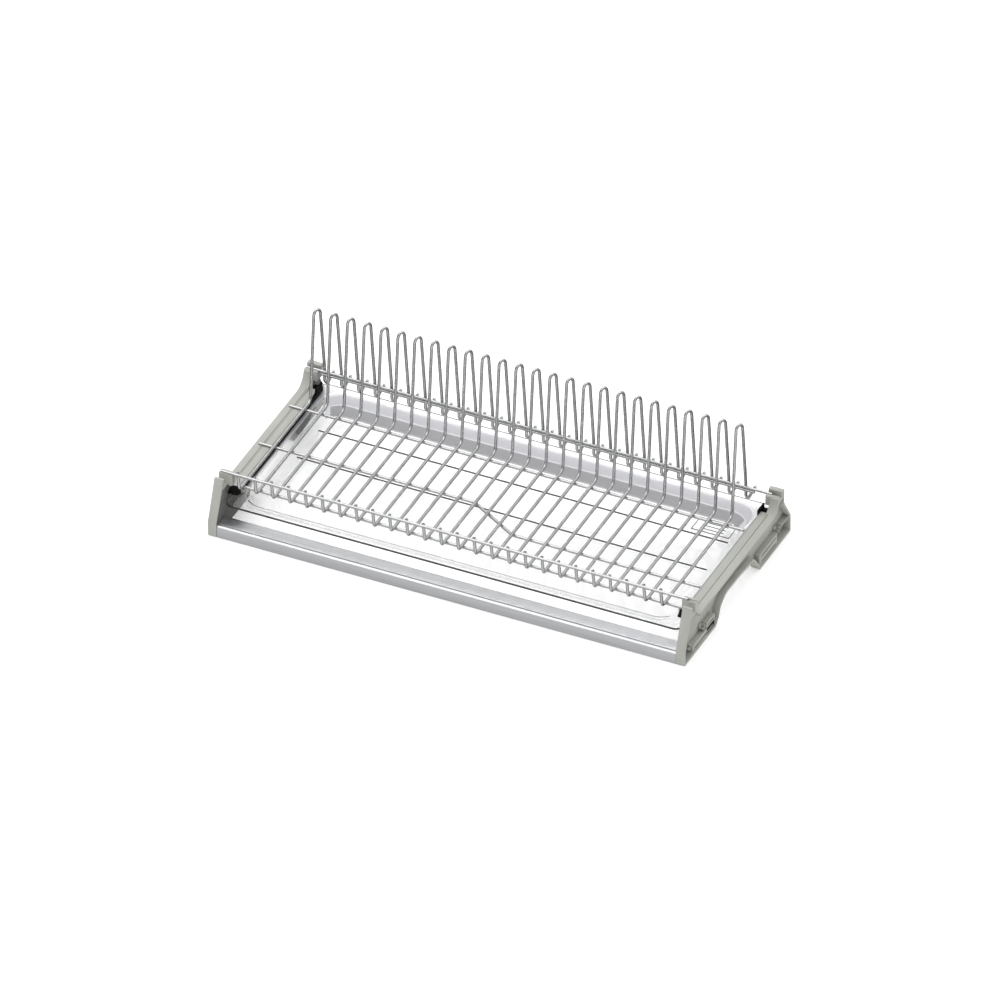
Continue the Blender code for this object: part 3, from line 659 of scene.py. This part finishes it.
rings = [
    well(1.0 + 0.16, floor_top), well(1.0, floor_top + 0.5 * MM), well(0.93, wall_z(0.93)),
    well(0.50, wall_z(0.50) - 0.1 * MM), well(0.46, wall_z(0.46) + 0.1 * MM),
    well(0.08, wall_z(0.08)), well(0.02, TRAY_RIM - 0.4 * MM), well(-0.08, TRAY_RIM),
    plan(rim_x - 0.9 * MM, y0 + 0.9 * MM, y1 - 0.9 * MM, 8.1 * MM, TRAY_RIM),
    plan(rim_x, y0, y1, 9 * MM, TRAY_RIM - 0.5 * MM),
    plan(rim_x, y0, y1, 9 * MM, TRAY_RIM - TRAY_WALL),
    well(0.0, TRAY_RIM - TRAY_WALL, TRAY_WALL), well(0.92, TRAY_FLOOR + 1.2 * MM, TRAY_WALL * 0.9),
    well(1.0, TRAY_FLOOR, TRAY_WALL * 0.3)]
work = bmesh.new()
loops = [[work.verts.new(p) for p in ring] for ring in rings]
count = len(loops[0])
strips = [[work.faces.new((a[i], a[(i + 1) % count], b[(i + 1) % count], b[i]))
           for i in range(count)] for a, b in zip(loops, loops[1:])]
work.faces.new(loops[0])
work.faces.new(loops[-1])
GREY_PAINTED_REFLECTION, BLACK_PAINTED_SHADE, DARK_PAINTED_SHADE = 1, 2, 3  # places in the list of finishes; the clear one is 0
# Painted shade: the rim's outer edges are near black.
for face in strips[8] + strips[9]:
    face.material_index = BLACK_PAINTED_SHADE
# Painted reflection on the rear wall's frost, with painted shade on its lower half inside.
for strip, finish in ((1, DARK_PAINTED_SHADE), (2, DARK_PAINTED_SHADE), (4, GREY_PAINTED_REFLECTION), (11, GREY_PAINTED_REFLECTION)):
    for face in strips[strip]:
        if face.calc_center_median().y > rear_top - rear_fall - 1 * MM - DEPTH / 2:
            face.material_index = finish
# The grey frost with its painted reflection on the rim beside the guides.
for face in strips[7]:
    middle = face.calc_center_median()
    if abs(middle.x) > well_x and middle.y > 60 * MM - DEPTH / 2:
        face.material_index = GREY_PAINTED_REFLECTION
# Painted shade: near black along the front of the rim's lip.
for face in strips[6]:
    if face.calc_center_median().y < y0 + 20 * MM - DEPTH / 2:
        face.material_index = BLACK_PAINTED_SHADE
bmesh.ops.recalc_face_normals(work, faces=work.faces)
tray_mesh = mesh_of("drip_tray_moulding", work)
print("tray shell:", len(tray_mesh.polygons), "faces,", round(2 * rim_x / MM), "mm wide")

# %% [markdown]
# ## Ribs on the tray's floor
#
# Two low ribs keep the plates' drops from pooling, and a small plain frame with three bars is
# moulded beside the outlet corner, where a tray carries its maker's data. They are thin bars
# on the floor, in the near-black painted shade of the edges, for the dark that one sees when
# looking along their clear sides.

# %% Tray ribs
def soft_block(low, high, offset, shortest=0.0):
    """A block between two corners; edges longer than the shortest are bevelled."""
    work = bmesh.new()
    bmesh.ops.create_cube(work, size=1)
    for vert in work.verts:
        vert.co = [high[i] if vert.co[i] > 0 else low[i] for i in range(3)]
    edges = [edge for edge in work.edges if edge.calc_length() > shortest]
    bmesh.ops.bevel(work, geom=edges, offset=offset, segments=2, profile=0.5, affect="EDGES")
    return mesh_of("soft_block", work)


def floor_bar(x0, x1, back0, back1, height):
    """A low bar on the tray's floor."""
    return soft_block((x0, back0 - DEPTH / 2, floor_top - 0.4 * MM),
                      (x1, back1 - DEPTH / 2, floor_top + height), 0.15 * MM, 4 * MM)


rib_x = well_x - fall - 1 * MM
bars = [floor_bar(-rib_x, rib_x, y, y + 0.9 * MM, 1.0 * MM) for y in (141 * MM, 195 * MM)]
frame_x, frame_y = (196 * MM, 240 * MM), (203 * MM, 226 * MM)
bars += [floor_bar(*frame_x, y, y + 0.6 * MM, 0.5 * MM) for y in frame_y]
bars += [floor_bar(x, x + 0.6 * MM, *frame_y, 0.5 * MM) for x in frame_x]
bars += [floor_bar(204 * MM, 232 * MM, y * MM, (y + 0.6) * MM, 0.3 * MM)
         for y in (208.5, 214.2, 220)]
# Painted shade: the ribs take the near-black finish of the tray's edges.
ribs = one_piece("drip_tray_ribs", bars, near_black_painted_shade)
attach(ribs, "tray")

tray = as_object("drip_tray_moulding", tray_mesh)
for finish in (clear_plastic, frost_with_painted_reflection, near_black_painted_shade, frost_with_painted_shade):
    tray_mesh.materials.append(finish)
tray_mesh.shade_smooth()
tray_mesh.set_sharp_from_angle(angle=radians(50))
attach(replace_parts(tray, "drip_tray"), "tray")

# %% [markdown]
# ## One Geometry Nodes tree for every wire
#
# All the wire in the rack is the same idea: a round section that follows a path, made once or
# many times over. So one tree does it. It sweeps a circle along the path it is given, lays
# the copies out in a row with a mesh line, turns them into real geometry, and sets the
# finish. The last steps end every tree here, so a helper adds them. The path's radius
# attribute shrinks the circle at the tips, which rounds them as tumbling does on real wire.

# %% The wire tree
def node(tree, kind, **properties):
    """A new node with these properties set."""
    made = tree.nodes.new(kind)
    for name, value in properties.items():
        setattr(made, name, value)
    return made


def tree_with_inputs(name, inputs):
    """An empty tree with a geometry in and out, and these named inputs."""
    tree = bpy.data.node_groups.new(name, "GeometryNodeTree")
    shape = ("Geometry", "NodeSocketGeometry")
    for label, kind in (shape, *inputs):
        tree.interface.new_socket(name=label, in_out="INPUT", socket_type=kind)
    tree.interface.new_socket(name=shape[0], in_out="OUTPUT", socket_type=shape[1])
    return tree, node(tree, "NodeGroupInput"), node(tree, "NodeGroupOutput")


def connect(tree, *links):
    """Makes links, each given as a node, its output, the next node and its input."""
    for source, output, target, socket in links:
        tree.links.new(source.outputs[output], target.inputs[socket])


def realised(tree, given, result, instances, smooth=True):
    """Ends a tree: the instances as plain geometry with the given finish."""
    real = node(tree, "GeometryNodeRealizeInstances")
    paint = node(tree, "GeometryNodeSetMaterial")
    shading = [node(tree, "GeometryNodeSetShadeSmooth")] if smooth else []
    stops = [real, *shading, paint, result]
    connect(tree, (instances, "Instances", real, "Geometry"), (given, "Finish", paint, "Material"),
            *((a, "Geometry", b, "Geometry") for a, b in zip(stops, stops[1:])))


wire_tree, given, result = tree_with_inputs("wire_along_path", [
    ("Wire Radius", "NodeSocketFloat"), ("Sides", "NodeSocketInt"), ("Copies", "NodeSocketInt"),
    ("Step", "NodeSocketVector"), ("Finish", "NodeSocketMaterial")])
circle = node(wire_tree, "GeometryNodeCurvePrimitiveCircle")
sweep = node(wire_tree, "GeometryNodeCurveToMesh")
row = node(wire_tree, "GeometryNodeMeshLine", mode="OFFSET", count_mode="TOTAL")
copies = node(wire_tree, "GeometryNodeInstanceOnPoints")
sweep.inputs["Fill Caps"].default_value = True
connect(wire_tree, (given, "Wire Radius", circle, "Radius"), (given, "Sides", circle, "Resolution"),
        (given, "Geometry", sweep, "Curve"), (circle, "Curve", sweep, "Profile Curve"),
        (given, "Copies", row, "Count"), (given, "Step", row, "Offset"),
        (row, "Mesh", copies, "Points"), (sweep, "Mesh", copies, "Instance"))
realised(wire_tree, given, result, copies)


def grown(name, host, tree, values):
    """The tree's result on the host, with these named inputs, as a mesh object at the origin."""
    bpy.context.scene.collection.objects.link(host)
    modifier = host.modifiers.new(tree.name, "NODES")
    modifier.node_group = tree
    for socket in tree.interface.items_tree:
        if socket.in_out == "INPUT" and socket.name in values:
            modifier[socket.identifier] = values[socket.name]
    bpy.context.view_layer.update()
    graph = bpy.context.evaluated_depsgraph_get()
    mesh = bpy.data.meshes.new_from_object(host.evaluated_get(graph))
    mesh.name = name
    bpy.data.objects.remove(host)
    cleaned(mesh, 1e-7).set_sharp_from_angle(angle=radians(60))
    return as_object(name, mesh)


print("wire tree:", len(wire_tree.nodes), "nodes")


# %% [markdown]
# ## Paths with round bends
#
# Wire is bent round a former, so a bend is an arc between two straight runs, and the helper
# that rounds an outline's corners rounds these too. The tips get three extra points whose
# radius shrinks along a quarter circle.

# %% Paths
def round_tip(end, inner, radius, steps=3, smallest=0.12):
    """(point, share of the radius) pairs from a wire's very end to its full section."""
    inwards = (inner - end).normalized()
    turns = [pi / 2 * s / steps for s in range(steps)]
    return ([(end + inwards * radius * (1 - cos(t)), max(sin(t), smallest)) for t in turns]
            + [(end + inwards * radius, 1.0)])


def path_host(name, points, radius):
    """A curve object through the points, with round tips for that wire radius."""
    run = (round_tip(points[0], points[1], radius) + [(p, 1.0) for p in points[1:-1]]
           + round_tip(points[-1], points[-2], radius)[::-1])
    curve = bpy.data.curves.new(name, "CURVE")
    curve.dimensions = "3D"
    curve.twist_mode = "MINIMUM"
    spline = curve.splines.new("POLY")
    spline.points.add(len(run) - 1)
    for point, (where, share) in zip(spline.points, run):
        point.co = (*where, 1)
        point.radius = share
    return bpy.data.objects.new(name, curve)


# %% [markdown]
# ## Twenty-six plate wires
#
# Each plate wire is a single length. It starts behind the front upper rod, drops to a heel
# under it, runs level to the back, climbs the front leg of its hairpin, turns over the crown
# and comes down behind the rear rods, where its end is bent up again into a narrow hook. One
# path is drawn, and the tree repeats it every 20 mm.

# %% Plate wires
PITCH = 20 * MM
WIRES = len([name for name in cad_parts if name.startswith("plate_wire")])
first_x = -HALF_W + 24 * MM
behind = REAR_ROD[0] + ROD_R + WIRE_R + 0.05 * MM


def at(dx, back, up):
    """A place near the first plate wire."""
    return Vector((first_x + dx, back - DEPTH / 2, up))


tip = at(-4.2 * MM, FRONT_ROD[0] + ROD_R + WIRE_R + 0.3 * MM, FRONT_ROD[1] + 0.9 * MM)
heel = at(0, FRONT_ROD[0] - 1 * MM, LEVEL)
turn_up = at(0, DEPTH - 65 * MM, LEVEL)
crown_rise = 7.2 * MM
shoulder = LOOP_TOP - WIRE_R - crown_rise
left = at(0, DEPTH - 56 * MM, shoulder)
right = at(4.2 * MM, DEPTH - 47.9 * MM, shoulder)
knee = at(-3.3 * MM, behind, REAR_ROD[1] + 3 * MM)
hook = at(-3.0 * MM, behind, REAR_ROD[1] - 23 * MM)
end = at(8.2 * MM, behind, REAR_ROD[1] + 1.6 * MM)
middle, across = (left + right) / 2, (left - right) / 2
rise = Vector((0, 0, crown_rise))
CROWN_STEPS = 14
crown = [middle + across * cos(pi * s / CROWN_STEPS) + rise * sin(pi * s / CROWN_STEPS)
         for s in range(CROWN_STEPS + 1)]
wire_path = ([tip] + bend(tip, heel, turn_up, 2.6 * MM) + bend(heel, turn_up, left, 7 * MM, 8)
             + crown + bend(right, knee, hook, 6 * MM, 4) + bend(knee, hook, end, 2.1 * MM, 8)
             + [end])
plate_wires = grown("plate_wires", path_host("plate_wire_path", wire_path, WIRE_R), wire_tree,
                    {"Wire Radius": WIRE_R, "Sides": 12, "Copies": WIRES,
                     "Step": (PITCH, 0, 0), "Finish": chrome})
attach(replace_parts(plate_wires, *[f"plate_wire_{i + 1:02d}" for i in range(WIRES)]), "rack")
print(WIRES, "plate wires,", len(plate_wires.data.polygons), "faces")

# %% [markdown]
# ## Six rods
#
# Six straight lengths carry the row of plate wires, but for a dog-leg half-way along the
# middle one. They come from the same tree with a single copy each.

# %% Rods
FRONT_LOWER = 40 * MM
MIDDLE_ROD_RIGHT = 82 * MM
JOG_RUN = 62 * MM
left_end, right_end = -HALF_W + 1 * MM, HALF_W - 10.5 * MM
saddle_end, inner_end = -HALF_W + 5.5 * MM, HALF_W - BEAM_W - 1.5 * MM
last_x = first_x + PITCH * (WIRES - 1)
jog = first_x + PITCH * (WIRES // 2 - 1) - 3 * MM
tie_z = REAR_ROD[1] - 2 * ROD_R - WELD_GAP
dog_leg = [Vector((x, y - DEPTH / 2, UNDER_ROD_Z)) for x, y in
           ((saddle_end, MIDDLE_ROD_LEFT), (jog, MIDDLE_ROD_LEFT),
            (jog + JOG_RUN, MIDDLE_ROD_RIGHT), (inner_end, MIDDLE_ROD_RIGHT))]


def straight(x0, x1, back, up):
    """The two ends of a rod along X."""
    return [Vector((x, back - DEPTH / 2, up)) for x in (x0, x1)]


rods = {
    "front_upper_rod": straight(left_end, right_end, *FRONT_ROD),
    "front_lower_rod": straight(-HALF_W + BEAM_W + 2.5 * MM, HALF_W - BEAM_W - 1 * MM,
                                FRONT_LOWER, UNDER_ROD_Z),
    "middle_rod": ([dog_leg[0]] + bend(*dog_leg[:3], 12 * MM) + bend(*dog_leg[1:], 12 * MM)
                   + [dog_leg[3]]),
    "rear_bottom_rod": straight(saddle_end, inner_end, REAR_UNDER, UNDER_ROD_Z),
    "rear_hanging_rod": straight(left_end, right_end, *REAR_ROD),
    "rear_tie_rod": straight(first_x - 4.4 * MM, last_x + 9 * MM, REAR_ROD[0], tie_z)}
for name, points in rods.items():
    rod = grown(f"{name}_chromed", path_host(f"{name}_path", points, ROD_R), wire_tree,
                {"Wire Radius": ROD_R, "Sides": 16, "Copies": 1, "Step": (0, 0, 0),
                 "Finish": chrome})
    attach(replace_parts(rod, name), "rack")
    print(rod.name, [round(v / MM, 1) for v in rod.dimensions], "mm")

# %% [markdown]
# ## Welds
#
# Wherever a wire crosses a rod the two are spot-welded: they sink into each other a little
# and the plating flows round the joint. A small squashed bead in the gap shows this. There
# are more than a hundred, so a second tree puts one low bead on every crossing, and the
# crossings are worked out from the paths themselves.

# %% Welds
bead_tree, given, result = tree_with_inputs("weld_beads", [
    ("Bead Size", "NodeSocketVector"), ("Finish", "NodeSocketMaterial")])
ball = node(bead_tree, "GeometryNodeMeshUVSphere")
for label, value in (("Segments", 10), ("Rings", 6), ("Radius", 1.0)):
    ball.inputs[label].default_value = value
beads = node(bead_tree, "GeometryNodeInstanceOnPoints")
connect(bead_tree, (given, "Geometry", beads, "Points"), (ball, "Mesh", beads, "Instance"),
        (given, "Bead Size", beads, "Scale"))
realised(bead_tree, given, result, beads)


def middle_rod_y(x):
    """How far back the middle rod runs at x, in scene coordinates."""
    share = min(max((x - jog) / JOG_RUN, 0), 1)
    return MIDDLE_ROD_LEFT + (MIDDLE_ROD_RIGHT - MIDDLE_ROD_LEFT) * share - DEPTH / 2


joint_z = LEVEL - WIRE_R - WELD_GAP / 2
touch_y = REAR_ROD[0] + ROD_R - DEPTH / 2
crossings = []
for i in range(WIRES):
    x = first_x + PITCH * i
    crossings += [(x, y, joint_z) for y in (FRONT_LOWER - DEPTH / 2, middle_rod_y(x),
                                            REAR_UNDER - DEPTH / 2)]
    crossings += [(x - 3.3 * MM, touch_y, REAR_ROD[1]), (x - 3.2 * MM, touch_y, tie_z),
                  (x + 6.2 * MM, touch_y, tie_z),
                  (x - 4.1 * MM, FRONT_ROD[0] + ROD_R - DEPTH / 2, FRONT_ROD[1])]
marks = bpy.data.meshes.new("weld_places")
marks.from_pydata(crossings, [], [])
welds = grown("weld_beads", bpy.data.objects.new("weld_places", marks), bead_tree,
              {"Bead Size": (1.5 * MM, 1.35 * MM, 0.95 * MM), "Finish": chrome})
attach(welds, "rack")
print(len(crossings), "welds")

# %% [markdown]
# ## Screws
#
# Six fixing screws hold the brackets. Each has a round collar and two crossed wings to turn it
# by, so the mesh is a profile spun round the axis with two rounded plates run through it. A
# third tree sets one screw on each place of a side.

# %% Screws
def lathe(profile, segments=28):
    """A closed mesh of revolution round X, from (x, radius) pairs that end on the axis."""
    work = bmesh.new()
    turned = [[work.verts.new((x, r * cos(2 * pi * k / segments), r * sin(2 * pi * k / segments)))
               for k in range(segments)] for x, r in profile[1:-1]]
    for a, b in zip(turned, turned[1:]):
        for k in range(segments):
            work.faces.new((a[k], a[(k + 1) % segments], b[(k + 1) % segments], b[k]))
    for ring, (x, _) in ((turned[0], profile[0]), (turned[-1], profile[-1])):
        pole = work.verts.new((x, 0, 0))
        for k in range(segments):
            work.faces.new((ring[k], ring[(k + 1) % segments], pole))
    work.normal_update()
    bmesh.ops.recalc_face_normals(work, faces=work.faces)
    return mesh_of("turned", work)


def wing(half_y, half_z, outer):
    """One of the two crossed wings, with softened edges."""
    return soft_block((outer, -half_y, -half_z), (-1 * MM, half_y, half_z), 0.25 * MM)


collar = [(-2.2 * MM, 0), (-2.2 * MM, 2.6 * MM), (-1.9 * MM, 3.5 * MM), (-1.4 * MM, 3.9 * MM),
          (-0.15 * MM, 3.9 * MM), (0, 3.75 * MM), (0, 1.7 * MM), (2.1 * MM, 1.7 * MM), (2.1 * MM, 0)]
wings = [wing(4.35 * MM, 0.85 * MM, -6.6 * MM), wing(0.9 * MM, 4.25 * MM, -6.5 * MM)]
screw_pattern = one_piece("screw_pattern", [lathe(collar), *wings], zinc)

screw_tree, given, result = tree_with_inputs("screws_on_points", [
    ("Screw", "NodeSocketObject"), ("Turn", "NodeSocketVector"), ("Finish", "NodeSocketMaterial")])
info = node(screw_tree, "GeometryNodeObjectInfo")
seat = node(screw_tree, "GeometryNodeInstanceOnPoints")
aim = node(screw_tree, "FunctionNodeEulerToRotation")
connect(screw_tree, (given, "Screw", info, "Object"), (given, "Geometry", seat, "Points"),
        (info, "Geometry", seat, "Instance"), (given, "Turn", aim, "Euler"),
        (aim, "Rotation", seat, "Rotation"))
realised(screw_tree, given, result, seat, smooth=False)

for side, word in ((-1, "left"), (1, "right")):
    marks = bpy.data.meshes.new("screw_places")
    marks.from_pydata([place(side, WEB - 0.3 * MM, y, z) for y, z in SCREWS], [], [])
    screws = grown(f"{word}_screws", bpy.data.objects.new("screw_places", marks), screw_tree,
                   {"Screw": screw_pattern, "Turn": (0, 0, 0 if side < 0 else pi),
                    "Finish": zinc})
    screws.data.shade_smooth()
    screws.data.set_sharp_from_angle(angle=radians(35))
    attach(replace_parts(screws, *[f"{word}_screw_{i}" for i in (1, 2, 3)]), "frame")
    print(screws.name, len(screws.data.polygons), "faces")
bpy.data.objects.remove(screw_pattern)

# %% [markdown]
# ## Guides
#
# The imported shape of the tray's two guides is already right: plain black channels. They stay
# as they are and only get their finish. Behind each front post a small black wedge leads the
# tray's rim into its channel.

# %% Guides
for word in ("left", "right"):
    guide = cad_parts[f"{word}_tray_guide"]
    guide.data.materials.clear()
    guide.data.materials.append(black_plastic)
lead_in = rounded([(27 * MM, 41 * MM, 0.8 * MM), (37.4 * MM, 36.4 * MM, 0.4 * MM),
                   (37.4 * MM, 46.2 * MM, 0.4 * MM)])
wedges = one_piece("guide_lead_ins", [plate([lead_in], side, POST_W - 0.2 * MM, 22 * MM)
                                      for side in (-1, 1)], black_plastic)
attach(wedges, "frame")
print("guides painted, lead-ins:", len(wedges.data.polygons), "faces")

# %% [markdown]
# ## Floor
#
# The floor is almost white and glows a little, as lit paper does. It stays out of mirror
# reflections, so that the wires reflect the lower half of the sky in its place.

# %% Floor
floor_mesh = bpy.data.meshes.new("studio_floor")
FLOOR_HALF = 60
floor_mesh.from_pydata([(x * FLOOR_HALF, y * FLOOR_HALF, 0)
                        for x, y in ((-1, -1), (1, -1), (1, 1), (-1, 1))], [], [(0, 1, 2, 3)])
floor = as_object("studio_floor", floor_mesh)
floor.location.z = -0.2 * MM
floor.visible_glossy = False
pale, tree, shader = new_finish("pale_floor", Roughness=0.9, Specular_IOR_Level=0.1,
                                Emission_Color=(1, 1, 1, 1), Emission_Strength=0.3)
tone_drift(tree, shader, noise_on_object(tree, 2.0), (0.93, 0.93, 0.93), (0.95, 0.95, 0.95))
floor_mesh.materials.append(pale)
print("floor:", 2 * FLOOR_HALF, "m wide")

# %% [markdown]
# ## Sky
#
# Metal shows what surrounds it and needs something dark beside something bright. A picture of
# a studio round the scene would do that, but four smooth ramps are enough: the upper half is
# brightest overhead and behind, and the lower half, which only the wires see, is bright only
# towards the front.

# %% Sky
sky = bpy.data.worlds.new("studio_sky")
bpy.context.scene.world = sky
sky.use_nodes = True
tree = sky.node_tree
link = tree.links.new
direction = node(tree, "ShaderNodeTexCoord")
parts = node(tree, "ShaderNodeSeparateXYZ")
link(direction.outputs["Generated"], parts.inputs["Vector"])


def ramp(source, start, stop, low, high):
    """A smooth change from low to high as the source goes from start to stop."""
    made = node(tree, "ShaderNodeMapRange", interpolation_type="SMOOTHSTEP")
    ends = {"From Min": start, "From Max": stop, "To Min": low, "To Max": high}
    for label, value in ends.items():
        made.inputs[label].default_value = value
    link(source, made.inputs["Value"])
    return made.outputs["Result"]


TO_CAMERA = (0.42, -0.91, 0)
facing = node(tree, "ShaderNodeVectorMath", operation="DOT_PRODUCT")
facing.inputs[1].default_value = TO_CAMERA
link(direction.outputs["Generated"], facing.inputs[0])
back_bright = ramp(parts.outputs["Y"], -0.6, 0.35, 0.62, 1.05)
overhead = ramp(parts.outputs["Z"], 0.0, 0.8, 0.75, 1.15)
upper = node(tree, "ShaderNodeMath", operation="MULTIPLY")
link(back_bright, upper.inputs[0])
link(overhead, upper.inputs[1])
lower = ramp(facing.outputs["Value"], 0.3, 0.75, 0.30, 1.15)
is_up = ramp(parts.outputs["Z"], -0.02, 0.02, 0.0, 1.0)
mixed = node(tree, "ShaderNodeMix", data_type="FLOAT")
link(is_up, mixed.inputs["Factor"])
link(lower, mixed.inputs["A"])
link(upper.outputs[0], mixed.inputs["B"])
background = tree.nodes["Background"]
link(mixed.outputs["Result"], background.inputs["Strength"])
background.inputs["Color"].default_value = (1, 1, 1, 1)
print("sky:", len(tree.nodes), "nodes")

# %% [markdown]
# ## Two lights
#
# A large softbox overhead draws soft shadows under the rack. A low strip in front of the left
# corner brings out the fronts of the posts and puts a highlight along the wires. Both are
# area lights, since a point light would draw hard shadows, and neither shows in the picture.

# %% Two lights
def area_light(name, size, energy, location):
    """A rectangular light of size (width, height) in metres that aims at the origin."""
    lamp = bpy.data.lights.new(name, "AREA")
    lamp.shape = "RECTANGLE"
    lamp.size, lamp.size_y = size
    lamp.energy = energy
    light = as_object(name, lamp)
    light.location = location
    light.rotation_euler = (-light.location).to_track_quat("-Z", "Y").to_euler()
    light.visible_camera = False
    print(name, energy, "W")


area_light("overhead_softbox", (2.2, 1.6), 14, (-0.35, 0.25, 1.7))
area_light("front_strip_light", (0.9, 0.28), 2.6, Vector((-0.34, -0.59, 0.73)) * 1.8)

# %% [markdown]
# ## Camera
#
# A long lens far away keeps the rack's edges nearly parallel, as catalogue pictures do. The
# camera stands on a line from the target at a known azimuth and elevation, so the view stays
# the same when the distance changes.

# %% Camera
target = Vector((0.001, -0.0005, 0.044))
azimuth, elevation, distance = radians(25), radians(36.1), 32.0
away = Vector((sin(azimuth) * cos(elevation), -cos(azimuth) * cos(elevation), sin(elevation)))
lens = bpy.data.cameras.new("catalogue_camera")
lens.lens = 1073
lens.sensor_width = 36
lens.clip_start, lens.clip_end = 10, 100
camera = as_object("catalogue_camera", lens)
camera.location = target + away * distance
camera.rotation_euler = (-away).to_track_quat("-Z", "Y").to_euler()
bpy.context.scene.camera = camera
bpy.context.scene.view_settings.view_transform = "Standard"
print("camera at", [round(v, 2) for v in camera.location])

# %% The end
bpy.context.view_layer.update()
